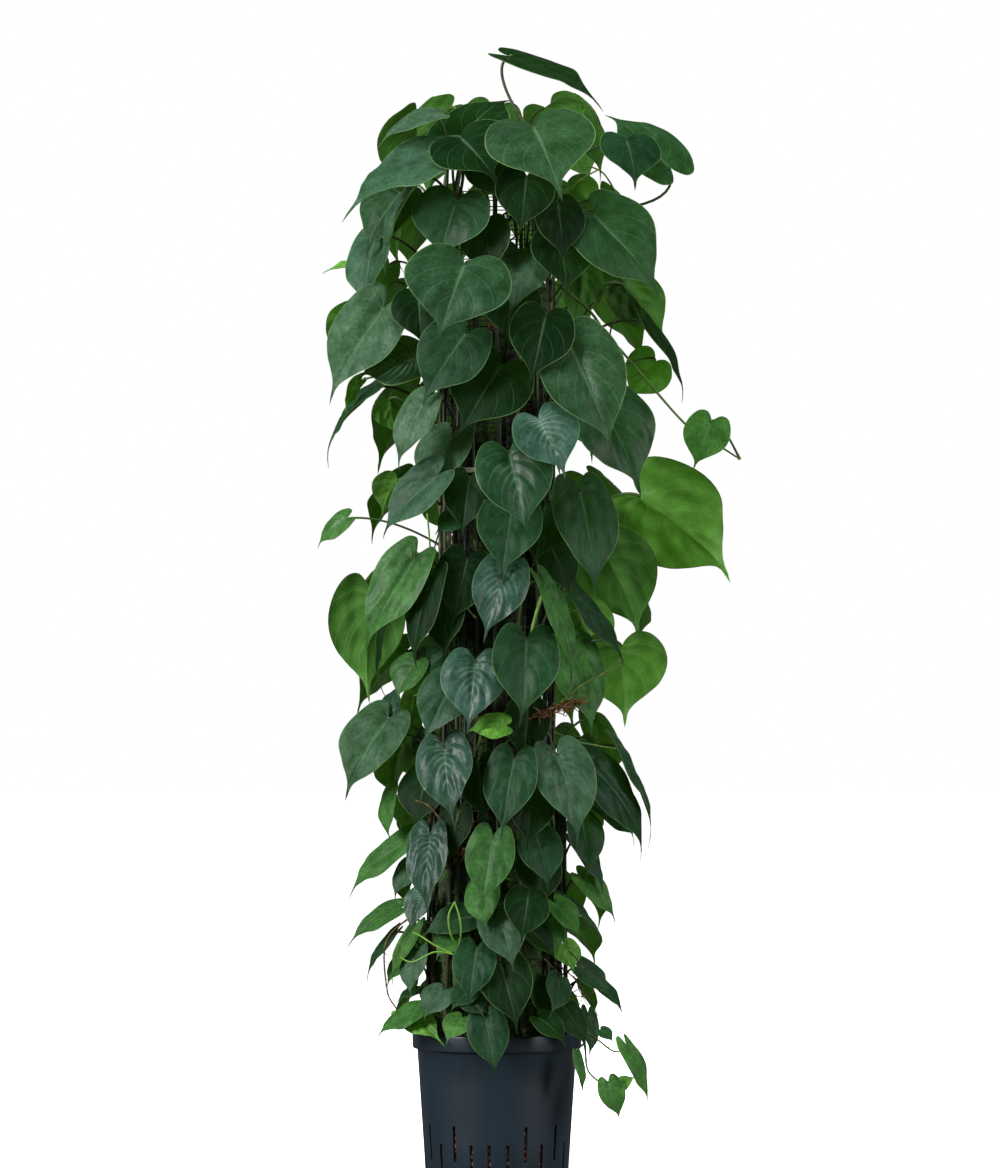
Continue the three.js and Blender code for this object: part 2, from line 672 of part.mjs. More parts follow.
function growLeaf(makeLeaf) {
  for (const push of PUSHES) {
    for (const turn of TURNS) {
      const leaf = makeLeaf(push, turn);
      const fat = leafSolid(leaf, BLADE_THICKNESS + 2 * BLADE_CLEARANCE);
      const stalk = isClear(fat, 'none') ? clearStalk(leaf, fat) : null;
      fat.delete();
      if (stalk) {
        const solid = leafSolid(leaf, BLADE_THICKNESS, stalk.points);
        place(solid, 'leaf');
        grown.get(stalk.stem.name).push(solid);
        return;
      }
    }
  }
}

// Pot, granules, column, rods and band
function potSolid() {
  const inner = POT_NECK_RADIUS - POT_WALL;
  const neck = POT_HEIGHT - POT_RIM_DEPTH;
  const profile = [[0, 0], [POT_BASE_RADIUS, 0], [POT_NECK_RADIUS, neck], [POT_RIM_RADIUS, neck + 0.8],
    [POT_RIM_RADIUS, POT_HEIGHT], [POT_RIM_RADIUS - POT_WALL, POT_HEIGHT], [inner, neck],
    [POT_BASE_RADIUS - POT_WALL, 3], [0, 3]];
  let pot = solidOfGeometry(turned(profile, POT_SIDES, SLOT_FIRST_AZIMUTH));
  const half = (SLOT_COUNT - 1) / 2;
  for (let k = -half; k <= half; k += 1) {
    const high = k !== 0 && k % 2 === 0;
    const foot = high ? SLOT_HIGH_FOOT : SLOT_LOW_FOOT;
    const azimuth = SLOT_FIRST_AZIMUTH + (360 * k) / SLOT_COUNT;
    const cutter = new THREE.BoxGeometry(SLOT_WIDTH, 14, SLOT_HEIGHT);
    cutter.rotateZ(radians(azimuth));
    const centre = around(azimuth, POT_BASE_RADIUS + 2, foot + SLOT_HEIGHT / 2);
    cutter.translate(centre.x, centre.y, centre.z);
    pot = pot.subtract(solidOfGeometry(cutter));
  }
  return pot;
}

function pebbleSolid() {
  const wallAt = (z) => {
    const share = z / (POT_HEIGHT - POT_RIM_DEPTH + 2);
    const neckInside = POT_NECK_RADIUS - POT_WALL;
    const baseInside = POT_BASE_RADIUS - POT_WALL;
    return Math.min(baseInside + (neckInside - baseInside) * share, neckInside) - FIT_GAP - 0.3;
  };
  const foot = 3 + FIT_GAP;
  const shoulder = POT_HEIGHT - POT_RIM_DEPTH;
  const socket = MESH_RADIUS + MESH_WIRE_RADIUS + 0.8;
  const profile = [[0, foot], [wallAt(foot), foot], [wallAt(shoulder), shoulder],
    [wallAt(shoulder) - 1, PEBBLE_TOP], [socket, PEBBLE_TOP], [socket, SOCKET_FLOOR], [0, SOCKET_FLOOR]];
  let pebbles = solidOfGeometry(turned(profile, POT_SIDES / 2, SLOT_FIRST_AZIMUTH));
  const feet = [...STEMS, ...RODS].map((stem) => around(stem.azimuth, curveAt(STEM_REACH, STEM_FOOT), 0));
  const [trailX, trailY] = TRAILING_STEM.points[0];
  feet.push(point(trailX, trailY, 0));
  const holeFoot = STEM_FOOT - FIT_GAP;
  for (const spot of feet) {
    const hole = new THREE.CylinderGeometry(STEM_HOLE_RADIUS, STEM_HOLE_RADIUS, 60, 4);
    hole.rotateX(Math.PI / 2);
    hole.translate(spot.x, spot.y, holeFoot + 30);
    pebbles = pebbles.subtract(solidOfGeometry(hole));
  }
  return pebbles;
}

// A lumpy cylinder or sleeve of moss: seeded bumps on the outer rings
function mossSolid(rings, sides, bump, seed) {
  const draw = randomFrom(seed);
  const positions = [];
  const triangles = [];
  rings.forEach(({ radius, z, rough }) => {
    for (let j = 0; j < sides; j += 1) {
      const swell = rough ? bump * (draw() - 0.5) : 0;
      positions.push(around((360 * j) / sides, radius + swell, z));
    }
  });
  const count = rings.length;
  for (let i = 0; i < count; i += 1) {
    for (let j = 0; j < sides; j += 1) {
      const next = (i + 1) % count;
      const k = (j + 1) % sides;
      triangles.push([i * sides + j, i * sides + k, next * sides + k]);
      triangles.push([i * sides + j, next * sides + k, next * sides + j]);
    }
  }
  return solidOf(positions, triangles);
}

function mossCore() {
  const sides = MOSS_SIDES;
  const heights = [SOCKET_FLOOR + FIT_GAP];
  for (let z = 200; z < MOSS_TOP - 40; z += MOSS_STEP) heights.push(z);
  const draw = randomFrom(MOSS_SEED);
  const positions = [point(0, 0, heights[0])];
  const triangles = [];
  const rings = [...heights, MOSS_TOP - 12];
  rings.forEach((z) => {
    for (let j = 0; j < sides; j += 1) {
      positions.push(around((360 * j) / sides, MOSS_RADIUS - MOSS_BUMP * draw(), z));
    }
  });
  positions.push(point(0, 0, MOSS_TOP));
  const top = positions.length - 1;
  for (let j = 0; j < sides; j += 1) {
    const k = (j + 1) % sides;
    triangles.push([0, 1 + k, 1 + j]);
    for (let i = 0; i < rings.length - 1; i += 1) {
      const a = 1 + i * sides;
      triangles.push([a + j, a + k, a + sides + k], [a + j, a + sides + k, a + sides + j]);
    }
    const last = 1 + (rings.length - 1) * sides;
    triangles.push([last + j, last + k, top]);
  }
  return solidOf(positions, triangles);
}

function mossSleeve() {
  const inside = MESH_RADIUS + MESH_WIRE_RADIUS + 2.6;
  const foot = PEBBLE_TOP + FIT_GAP;
  const outer = [foot, 250, 320, 390].map((z) => ({ radius: SLEEVE_RADIUS, z, rough: true }));
  outer[0].rough = false;
  const rings = [...outer, { radius: 75, z: SLEEVE_TOP, rough: true },
    { radius: inside, z: SLEEVE_TOP, rough: false }, { radius: inside, z: foot, rough: false }];
  return mossSolid(rings, SLEEVE_SIDES, 2 * MOSS_BUMP, SLEEVE_SEED);
}

function wireMesh() {
  const hoop = (z) => {
    const apart = MESH_WIRE_RADIUS;
    const profile = [[MESH_RADIUS - apart, z], [MESH_RADIUS + apart * 0.6, z - apart],
      [MESH_RADIUS + apart * 0.6, z + apart], [MESH_RADIUS - apart, z]];
    return solidOfGeometry(turned(profile, MESH_SIDES, 180 / MESH_SIDES));
  };
  let mesh = null;
  for (let i = 0; i < MESH_UPRIGHTS; i += 1) {
    const foot = around((360 * i) / MESH_UPRIGHTS, MESH_RADIUS, SOCKET_FLOOR + FIT_GAP);
    const head = foot.clone().setZ(MESH_TOP + 4);
    const wire = tubeSolid([foot, head], [MESH_WIRE_RADIUS, MESH_WIRE_RADIUS], 4);
    mesh = mesh ? mesh.add(wire) : wire;
  }
  for (const z of MESH_HOOP_HEIGHTS) mesh = mesh.add(hoop(z));
  return mesh;
}

function bandSolid() {
  const outer = BAND_RADIUS + 1.2;
  const top = BAND_FOOT + BAND_HEIGHT;
  const profile = [[BAND_RADIUS, BAND_FOOT], [outer, BAND_FOOT], [outer, top],
    [BAND_RADIUS, top], [BAND_RADIUS, BAND_FOOT]];
  return solidOfGeometry(turned(profile, 24));
}

function rodSolid(rod) {
  const heights = [STEM_FOOT, 460, 545, rod.top];
  const centres = heights.map((z) => around(rod.azimuth, curveAt(STEM_REACH, z), z));
  return tubeSolid(centres, heights.map(() => ROD_RADIUS), 6);
}

// Obstacles: plain hulls of the pot and the column, then rods, stems and branches
const potHull = solidOfGeometry(turned([[0, 0], [112, 0], [112, 192], [0, 192]], 24));
const columnHull = solidOfGeometry(turned([[0, 150], [84, 150], [84, 458], [69, 462],
  [69, 1285], [0, 1285]], 24));
place(potHull, 'pot');
place(columnHull, 'column');
const rods = RODS.map((rod) => ({ ...rod, solid: rodSolid(rod) }));
rods.forEach((rod) => place(rod.solid, rod.name));
for (const stem of STEMS) place(grown.get(stem.name)[0], stem.name);

const toPoints = (list) => list.map(([x, y, z]) => point(x, y, z));
const taper = (branch) => branch.points.map((_, i) => branch.radius * (1 - (0.4 * i) / branch.points.length));

for (const branch of BRANCHES) {
  const solid = tubeSolid(toPoints(branch.points), taper(branch), 4);
  const owner = STEMS[branch.stem].name;
  place(solid, owner);
  grown.get(owner).push(solid);
}
const trailing = [TRAILING_STEM, TRAILING_SIDE].map((branch) => {
  const solid = tubeSolid(toPoints(branch.points), taper(branch), 4);
  place(solid, 'trailing');
  return solid;
});

function fixedLeaf(spec, seed, list) {
  const base = point(...spec.base);
  const leaf = leafFrame(base, point(...spec.tip), facing(spec.face, spec.up), spec.width, seed);
  const solid = leafSolid(leaf, BLADE_THICKNESS, stalkPoints(point(...spec.joint), leaf, 0));
  place(solid, 'leaf');
  list.push(solid);
}
const shootCarrier = grown.get(STEMS[FREE_SHOOT.stem].name);
SHOOT_LEAVES.forEach((spec, i) => fixedLeaf(spec, SHOOT_SEED + i, shootCarrier));
TRAILING_LEAVES.forEach((spec, i) => fixedLeaf(spec, TRAILING_SEED + i, trailing));

// Leaves nearest the viewer are set first, then the inner ones, then the far side
const order = FRONT_LEAVES.map((_, i) => i).sort((a, b) => FRONT_LEAVES[b][5] - FRONT_LEAVES[a][5]);
for (const i of order) {
  growLeaf((push, turn) => frontLeaf(FRONT_LEAVES[i], i + 1, push, turn));
}
farSpots().forEach((spot, i) => {
  growLeaf((push, turn) => farLeaf(spot, FAR_SEED + i, push, turn));
});

// The object
const group = new THREE.Group();

function addMesh(name, geometry, colour, roughness, metalness = 0) {
  const material = new THREE.MeshStandardMaterial({ color: colour, roughness, metalness });
  const mesh = new THREE.Mesh(geometry, material);
  mesh.name = name;
  group.add(mesh);
}

addMesh('pot', geometryOf(potSolid()), COLOURS.pot, 0.6);
addMesh('clay_granules', geometryOf(pebbleSolid()), COLOURS.pebbles, 0.9);
addMesh('moss_core', geometryOf(mossCore()), COLOURS.moss, 1);
addMesh('moss_sleeve', geometryOf(mossSleeve()), COLOURS.moss, 1);
addMesh('wire_mesh', geometryOf(wireMesh()), COLOURS.wire, 0.5, 0.3);
addMesh('tie_band', geometryOf(bandSolid()), COLOURS.band, 0.6);
rods.forEach((rod) => addMesh(rod.name, geometryOf(rod.solid), COLOURS.wire, 0.4));
for (const stem of STEMS) {
  addMesh(stem.name, geometryOf(wasm.Manifold.union(grown.get(stem.name))), COLOURS.plant, 0.45);
}
addMesh('vine_trailing', geometryOf(wasm.Manifold.union(trailing)), COLOURS.plant, 0.45);

export default group;
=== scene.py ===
# %% [markdown]
# A heartleaf philodendron in a culture pot, climbing a column of wire mesh packed with moss.
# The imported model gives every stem, stalk and blade its place. This script gives them their
# looks: each plain solid is measured, and a finer piece is laid exactly where it stands.

# %% Load the frame
import math
from types import SimpleNamespace

import bpy
import numpy as np
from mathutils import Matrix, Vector, kdtree, noise


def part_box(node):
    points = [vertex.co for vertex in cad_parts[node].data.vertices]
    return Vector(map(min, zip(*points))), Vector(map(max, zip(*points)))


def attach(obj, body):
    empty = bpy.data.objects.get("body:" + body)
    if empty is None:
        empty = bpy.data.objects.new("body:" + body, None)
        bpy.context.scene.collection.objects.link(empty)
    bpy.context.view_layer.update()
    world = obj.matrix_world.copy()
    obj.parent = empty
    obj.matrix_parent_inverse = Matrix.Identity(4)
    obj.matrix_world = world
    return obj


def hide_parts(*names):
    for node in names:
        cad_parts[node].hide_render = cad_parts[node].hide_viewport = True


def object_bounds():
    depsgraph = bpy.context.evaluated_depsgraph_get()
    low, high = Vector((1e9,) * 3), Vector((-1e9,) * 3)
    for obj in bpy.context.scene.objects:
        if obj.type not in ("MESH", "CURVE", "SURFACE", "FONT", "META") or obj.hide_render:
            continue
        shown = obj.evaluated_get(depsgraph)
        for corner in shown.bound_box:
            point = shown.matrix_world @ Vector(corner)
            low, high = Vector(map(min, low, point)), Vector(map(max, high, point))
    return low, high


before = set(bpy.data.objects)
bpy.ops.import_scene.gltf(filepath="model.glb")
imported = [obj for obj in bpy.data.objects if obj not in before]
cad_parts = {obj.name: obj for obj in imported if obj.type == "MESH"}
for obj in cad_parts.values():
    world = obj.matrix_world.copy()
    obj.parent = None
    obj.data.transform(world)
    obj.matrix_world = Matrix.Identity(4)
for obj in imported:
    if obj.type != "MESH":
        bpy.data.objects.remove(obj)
cad_box = [list(corner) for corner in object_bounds()]
MM = 0.001
VINES = sorted(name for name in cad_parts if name.startswith("vine_"))
print(f"{len(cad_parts)} nodes, {len(VINES)} of them leafy stems")

# %% [markdown]
# A camera on a long lens, level with the middle of the plant and eight metres away, sees
# it almost without perspective, as a catalogue picture does. The long side of the picture
# takes the sensor's 36 mm, so the lens follows from the height that has to fit.

# %% Camera
VIEW_HEIGHT = 1.518
VIEW_DISTANCE = 8.0
VIEW_CENTRE = (0.004, 0.771)
SENSOR = 36.0
bpy.ops.object.camera_add(
    location=(VIEW_CENTRE[0], -VIEW_DISTANCE, VIEW_CENTRE[1]),
    rotation=(math.pi / 2, 0, 0),
)
camera = bpy.context.object
camera.data.sensor_fit = "AUTO"
camera.data.sensor_width = SENSOR
camera.data.lens = SENSOR * VIEW_DISTANCE / VIEW_HEIGHT
camera.data.clip_end = 60
bpy.context.scene.camera = camera
print(f"lens {camera.data.lens:.0f} mm")

# %% [markdown]
# Colours are written as sRGB hex, as a paint chart gives them. Shaders work in linear light,
# so one function converts them. A second one adds a shader node with its settings, its values
# and its links; given a whole node, it takes that node's first output in use. A finish then
# reads from top to bottom, as a recipe does.

# %% Colours and nodes
# The places of the colour sockets on a Mix node
SHARE, FIRST, SECOND = 0, 6, 7


def colour(hex_code, alpha=1.0):
    """An sRGB hex colour as linear RGBA."""
    parts = [int(hex_code[i:i + 2], 16) / 255 for i in (0, 2, 4)]
    linear = [c / 12.92 if c <= 0.04045 else ((c + 0.055) / 1.055) ** 2.4 for c in parts]
    return (*linear, alpha)


def add(tree, kind, inputs=None, stops=(), **settings):
    """A shader node with its settings, its values and links, and the stops of its ramp."""
    node = tree.nodes.new("ShaderNode" + kind)
    for name, value in settings.items():
        setattr(node, name, value)
    for key, value in (inputs or {}).items():
        if isinstance(value, bpy.types.Node):
            value = next(socket for socket in value.outputs if socket.enabled)
        if isinstance(value, bpy.types.NodeSocket):
            tree.links.new(value, node.inputs[key])
        else:
            node.inputs[key].default_value = value
    while stops and len(node.color_ramp.elements) < len(stops):
        node.color_ramp.elements.new(0.5)
    for i, (position, hex_code) in enumerate(stops):
        node.color_ramp.elements[i].position = position
        node.color_ramp.elements[i].color = colour(hex_code)
    return node


def new_material(name):
    """An empty node material, its tree and its output node."""
    made = bpy.data.materials.new(name)
    made.use_nodes = True
    made.node_tree.nodes.clear()
    return made, made.node_tree, add(made.node_tree, "OutputMaterial")


print("mid grey in linear light:", round(colour("808080")[0], 3))

# %% [markdown]
# Every operator acts on whatever is selected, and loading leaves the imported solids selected,
# so a piece is always selected alone before it is worked on. Points are read and written as
# one array, because thousands of them would be slow one by one. A modifier is applied as soon
# as it is set, so that what stands in the scene is plain mesh.

# %% Selecting, reading and shaping
def only(*pieces):
    """Selects these objects alone and makes the first one active."""
    if bpy.context.mode != "OBJECT":
        bpy.ops.object.mode_set(mode="OBJECT")
    bpy.ops.object.select_all(action="DESELECT")
    for piece in pieces:
        piece.select_set(True)
    bpy.context.view_layer.objects.active = pieces[0]


def started(name):
    """The object that an operator has just added, renamed."""
    piece = bpy.context.object
    piece.name = name
    piece.data.name = name
    return piece


def corners(mesh):
    """The mesh's points as rows of x, y, z."""
    points = np.empty(len(mesh.vertices) * 3)
    mesh.vertices.foreach_get("co", points)
    return points.reshape(-1, 3)


def move_corners(mesh, points):
    """Puts the mesh's points at new places."""
    mesh.vertices.foreach_set("co", np.asarray(points, dtype=np.float32).ravel())
    mesh.update()


def clean(piece):
    """Merges doubled points and turns every face outwards."""
    only(piece)
    bpy.ops.object.mode_set(mode="EDIT")
    bpy.ops.mesh.select_all(action="SELECT")
    bpy.ops.mesh.remove_doubles(threshold=1e-6)
    bpy.ops.mesh.normals_make_consistent(inside=False)
    bpy.ops.object.mode_set(mode="OBJECT")


def apply_modifier(piece, kind, **settings):
    """Adds a modifier to the active piece, sets it and applies it."""
    bpy.ops.object.modifier_add(type=kind)
    modifier = piece.modifiers[-1]
    for name, value in settings.items():
        setattr(modifier, name, value)
    bpy.ops.object.modifier_apply(modifier=modifier.name)


print(f"the packed pot has {len(corners(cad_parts['pot'].data))} points")

# %% [markdown]
# The plant was laid out by rule: a leaf has a base, a tip, a width, and the direction that
# its upper face looks in. Where two leaves would have met, one was moved in depth or turned
# a little until both were clear. The same rule is written here, in millimetres, and the
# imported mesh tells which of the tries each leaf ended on, because the tip of its blade is
# one of the mesh's points. Positive x is to the viewer's right, and -y is towards them.

# %% Sizes of the plant
BLADE_THICKNESS = 0.8
DRIP_FROM = 0.7
DRIP_DROP = 0.05
STEM_TOPS = [
    1372, 1230, 1340, 1150, 1365, 1250, 1330, 1110,
    1350, 1210, 1375, 1180, 1335, 1240, 1360, 1120,
]
STEM_FOOT = 150
STEM_RADIUS = 3.6
STEM_SWAY = 2.5
STEM_REACH = [(150, 90), (190, 90), (460, 87.5), (545, 73.5), (1285, 73.5), (1375, 45)]
SHELL = [(180, 112), (260, 122), (360, 128), (480, 132), (600, 140), (760, 150),
         (900, 158), (1050, 165), (1200, 165), (1320, 150), (1400, 120), (1470, 60)]
BLADE_LENGTH = [(200, 58), (300, 66), (450, 84), (600, 98), (800, 112), (1000, 122),
                (1200, 126), (1400, 112)]
PUSHES = [0, -6, 6, -12, 12, -18, 18, -24, 24, -31, 31, -38, 38, -46, 46, -55, 55]
TURNS = [0, 14, -14]
RISES = [0.6, 0.3, 0.9, 0.05, 1.2]
BOWS = [0, 16, -16, 32, -32]
FAR_TOP = 1392
FAR_FOOT = 214
FAR_STEP = 1.0
SHOOT_SEED = 900
TRAILING_SEED = 950
FAR_SEED = 1000
RING_SEED = 5000
print(f"{len(STEM_TOPS)} climbing stems")

# %% [markdown]
# Each row is a leaf that shows from the front: base x and z, tip x and z, blade width, depth
# as a share of the foliage radius, azimuth and rise of its upper face, and its tone. The tones
# run from the mature dark leaves to fresh green, young blue-grey and yellow-green ones. Leaves
# that stand in shadow get a near-black green of painted shade, one of them glossy; leaves that
# the light falls on get a paler grey-green of painted light; and the yellow-green is made
# brighter with painted light that comes through the leaf.

# %% The front leaves
# The shaded tones are painted shade, the lit tone painted light, the lime tone partly painted glow
PAINTED_SHADE, DARK, PAINTED_LIGHT, FRESH, BLUE, LIME_AND_PAINTED_GLOW, GLOSSY_PAINTED_SHADE = range(7)
FRONT_LEAVES = [
    # Crown
    (20, 1457, 140, 1391, 90, 0.3, 45, 58, PAINTED_SHADE),
    (224, 1312, 143, 1388, 90, 0.3, 30, 42, DARK),
    (168, 1345, 179, 1281, 85, 0.7, 20, 30, DARK),
    (47, 1356, 82, 1262, 145, 1.0, 0, 40, DARK),
    (-55, 1330, 21, 1407, 130, 0.5, -30, 50, PAINTED_SHADE),
    (-45, 1340, 0, 1283, 115, 0.7, -10, 35, PAINTED_SHADE),
    (-60, 1328, -200, 1240, 115, 0.8, -30, 55, PAINTED_LIGHT),
    (-80, 1375, -156, 1334, 80, 0.2, -30, 70, PAINTED_LIGHT),
    (-60, 1392, -110, 1340, 60, -0.2, -150, 30, FRESH),
    (110, 1385, 45, 1380, 60, -0.2, 180, 60, FRESH),
    # Upper column
    (-125, 1275, -170, 1195, 90, 0.8, -50, 20, DARK),
    (-100, 1290, -150, 1170, 60, 0.9, -75, 12, PAINTED_LIGHT),
    (-52, 1262, -75, 1180, 105, 0.8, -12, 20, DARK),
    (-41, 1178, -74, 1080, 142, 1.05, -5, 18, DARK),
    (-158, 1218, -170, 1120, 80, 0.6, -60, 15, PAINTED_LIGHT),
    (-165, 1185, -228, 1178, 50, 0.2, -30, 70, LIME_AND_PAINTED_GLOW),
    (-140, 1185, -155, 1140, 50, 0.1, -140, 15, LIME_AND_PAINTED_GLOW),
    (-146, 1126, -220, 1005, 95, 1.0, -15, 18, PAINTED_LIGHT),
    (-180, 1120, -215, 1060, 70, 0.1, -150, 15, LIME_AND_PAINTED_GLOW),
    (-100, 1140, -96, 1072, 75, 0.75, -20, 20, PAINTED_SHADE),
    (-41, 1090, -98, 1000, 95, 0.85, -10, 18, DARK),
    (-105, 1060, -182, 1037, 90, 0.7, -25, 40, GLOSSY_PAINTED_SHADE),
    (-177, 1035, -198, 994, 30, 0.1, -120, 15, LIME_AND_PAINTED_GLOW),
    (-140, 1010, -130, 962, 50, 0.1, -150, 15, LIME_AND_PAINTED_GLOW),
    (125, 1245, 212, 1137, 115, 1.0, 20, 18, DARK),
    (165, 1160, 222, 1085, 75, 0.2, 150, 15, DARK),
    (195, 1110, 248, 1010, 65, 0.4, 75, 15, PAINTED_SHADE),
    (112, 1178, 100, 1098, 60, 0.3, 165, 10, FRESH),
    (80, 1215, 90, 1138, 85, 0.75, 15, 20, PAINTED_SHADE),
    (90, 1290, 115, 1240, 80, -0.5, 180, 20, LIME_AND_PAINTED_GLOW),
    (60, 1280, 35, 1235, 50, 0.6, 10, 20, PAINTED_SHADE),
    (28, 1278, -38, 1262, 40, 0.6, 0, 70, FRESH),
    (30, 1196, 20, 1112, 80, 0.6, 0, 20, PAINTED_LIGHT),
    (62, 1112, 42, 1022, 85, 0.6, 5, 20, PAINTED_SHADE),
    # Middle
    (93, 1078, 151, 936, 112, 1.05, 8, 15, DARK),
    (205, 1060, 165, 1010, 65, -0.1, 160, 15, LIME_AND_PAINTED_GLOW),
    (5, 1050, -48, 960, 115, 0.7, -5, 20, PAINTED_SHADE),
    (53, 980, 90, 906, 88, 1.1, 5, 20, BLUE),
    (16, 937, 38, 830, 100, 1.0, 3, 18, DARK),
    (135, 1005, 186, 885, 115, 0.8, 25, 15, DARK),
    (187, 885, 308, 778, 150, 0.3, 160, 12, LIME_AND_PAINTED_GLOW),
    (107, 890, 127, 753, 88, 0.95, 20, 15, DARK),
    (20, 870, 5, 775, 85, 0.8, 0, 20, DARK),
    (12, 792, -18, 697, 72, 1.05, 0, 15, BLUE),
    (-92, 1005, -130, 918, 60, 1.0, -35, 15, PAINTED_LIGHT),
    (-76, 910, -151, 832, 70, 0.95, -35, 20, PAINTED_LIGHT),
    (-130, 905, -150, 860, 60, 0.2, -150, 15, LIME_AND_PAINTED_GLOW),
    (-195, 856, -235, 819, 45, 0.5, -50, 30, FRESH),
    (-106, 803, -173, 684, 80, 0.9, -30, 15, FRESH),
    (-165, 760, -168, 616, 105, 0.3, -165, 10, FRESH),
    (-85, 780, -108, 662, 60, 0.85, -40, 12, PAINTED_SHADE),
    (-128, 745, -150, 621, 45, 0.5, -75, 10, PAINTED_SHADE),
    (-105, 670, -130, 620, 60, 0.6, -40, 20, FRESH),
    (-108, 625, -113, 553, 45, 0.3, -150, 15, LIME_AND_PAINTED_GLOW),
    (-142, 595, -197, 492, 85, 0.8, -25, 18, PAINTED_LIGHT),
    (-140, 602, -129, 640, 32, 0.5, -40, 50, BLUE),
    (-28, 672, -36, 582, 85, 0.9, -5, 20, BLUE),
    (-55, 645, -95, 565, 70, 0.8, -25, 20, PAINTED_LIGHT),
    (38, 700, 32, 590, 88, 1.0, 4, 18, DARK),
    (104, 755, 170, 665, 50, 0.7, 60, 20, DARK),
    (61, 770, 98, 636, 50, 0.95, 55, 12, FRESH),
    (70, 820, 95, 750, 60, 0.5, 25, 20, PAINTED_SHADE),
    (100, 690, 125, 575, 80, 0.5, 30, 15, FRESH),
    (140, 815, 188, 700, 115, 0.1, 160, 12, FRESH),
    (105, 735, 140, 660, 80, 0.2, 160, 15, LIME_AND_PAINTED_GLOW),
    (162, 690, 168, 586, 118, 0.3, 180, 15, LIME_AND_PAINTED_GLOW),
    (-50, 855, -80, 835, 40, 0.8, -20, 40, DARK),
    (-69, 680, -95, 655, 50, 0.6, -30, 25, DARK),
    (-58, 962, -82, 872, 80, 0.62, -15, 20, PAINTED_LIGHT),
    (62, 872, 46, 790, 75, 0.6, 8, 15, PAINTED_SHADE),
    (-38, 802, -58, 716, 75, 0.62, -10, 15, PAINTED_SHADE),
    # Lower column
    (-68, 563, -55, 462, 75, 1.0, -15, 18, BLUE),
    (10, 590, -40, 583, 42, 1.0, -10, 36, LIME_AND_PAINTED_GLOW),
    (22, 547, 5, 446, 72, 0.95, 0, 18, DARK),
    (77, 552, 107, 437, 82, 1.0, 18, 15, PAINTED_LIGHT),
    (155, 560, 206, 434, 60, 0.4, 84, 10, DARK),
    (120, 540, 195, 416, 75, 0.75, 50, 15, DARK),
    (118, 495, 185, 432, 55, 0.5, 65, 20, DARK),
    (110, 465, 119, 392, 55, 0.6, 30, 20, DARK),
    (105, 440, 140, 370, 40, 0.5, 65, 20, DARK),
    (110, 392, 156, 333, 40, 0.6, 40, 20, FRESH),
    (-90, 525, -105, 452, 75, 0.6, -30, 20, PAINTED_SHADE),
    (-140, 503, -139, 437, 35, 0.5, -50, 15, FRESH),
    (-118, 492, -125, 448, 35, 0.3, -150, 15, LIME_AND_PAINTED_GLOW),
    (-5, 447, -20, 355, 64, 1.0, -3, 15, FRESH),
    (-20, 385, -13, 326, 50, 0.85, -8, 20, FRESH),
    (51, 448, 67, 378, 60, 0.95, 15, 18, DARK),
    (50, 420, 60, 351, 62, 0.8, 15, 20, PAINTED_SHADE),
    (-86, 449, -90, 346, 58, 0.95, -20, 15, BLUE),
    (-115, 440, -197, 365, 55, 0.5, -50, 30, FRESH),
    (-110, 410, -134, 361, 40, 0.5, -45, 20, PAINTED_LIGHT),
    (-126, 350, -196, 302, 42, 0.5, -40, 40, FRESH),
    (-97, 372, -113, 322, 40, 0.7, -30, 20, BLUE),
    (0, 350, 23, 274, 62, 0.9, 5, 20, PAINTED_LIGHT),
    (75, 360, 108, 313, 40, 0.8, 30, 30, FRESH),
    (85, 366, 141, 310, 35, 0.5, 60, 30, DARK),
    # Foot
    (-26, 304, -36, 229, 57, 1.0, -5, 18, DARK),
    (5, 285, 28, 197, 70, 0.95, 3, 18, PAINTED_SHADE),
    (-15, 216, 0, 143, 54, 1.08, 0, 12, DARK),
    (-107, 329, -139, 252, 30, 0.5, -60, 15, FRESH),
    (-132, 319, -172, 257, 35, 0.4, -70, 20, DARK),
    (-50, 320, -80, 290, 50, 0.8, -20, 40, FRESH),
    (-105, 297, -113, 236, 45, 0.6, -40, 20, PAINTED_LIGHT),
    (-118, 290, -145, 247, 45, 0.3, -60, 25, FRESH),
    (-100, 246, -131, 231, 30, 0.5, -40, 60, DARK),
    (-100, 225, -158, 188, 45, 0.8, -40, 45, FRESH),
    (-118, 218, -68, 181, 45, 1.1, -10, 50, LIME_AND_PAINTED_GLOW),
    (-45, 215, -66, 183, 40, 1.1, -20, 35, FRESH),
    (-70, 248, -95, 212, 50, 0.95, -30, 30, PAINTED_LIGHT),
    (-35, 252, -60, 225, 40, 0.95, -15, 40, DARK),
    (-35, 240, -16, 218, 35, 1.05, -5, 40, DARK),
    (40, 330, 78, 287, 45, 0.85, 40, 30, PAINTED_SHADE),
    (65, 338, 78, 292, 40, 0.6, 25, 20, FRESH),
    (85, 305, 100, 268, 45, 0.5, 35, 20, LIME_AND_PAINTED_GLOW),
    (105, 275, 150, 235, 45, 0.6, 45, 30, DARK),
    (120, 262, 168, 203, 35, 0.4, 65, 25, DARK),
    (80, 262, 70, 218, 40, 0.85, 25, 25, DARK),
    (50, 257, 75, 196, 40, 1.0, 35, 15, PAINTED_SHADE),
    (55, 215, 90, 180, 40, 1.15, 25, 35, PAINTED_SHADE),
    (85, 230, 118, 172, 45, 1.1, 35, 25, PAINTED_SHADE),
    (118, 215, 120, 158, 35, 0.9, 50, 15, DARK),
    # In the shade of the crown, close to the column
    (38, 1292, 30, 1215, 78, 0.5, 0, 15, PAINTED_SHADE),
    (78, 1258, 84, 1180, 70, 0.55, 20, 15, PAINTED_SHADE),
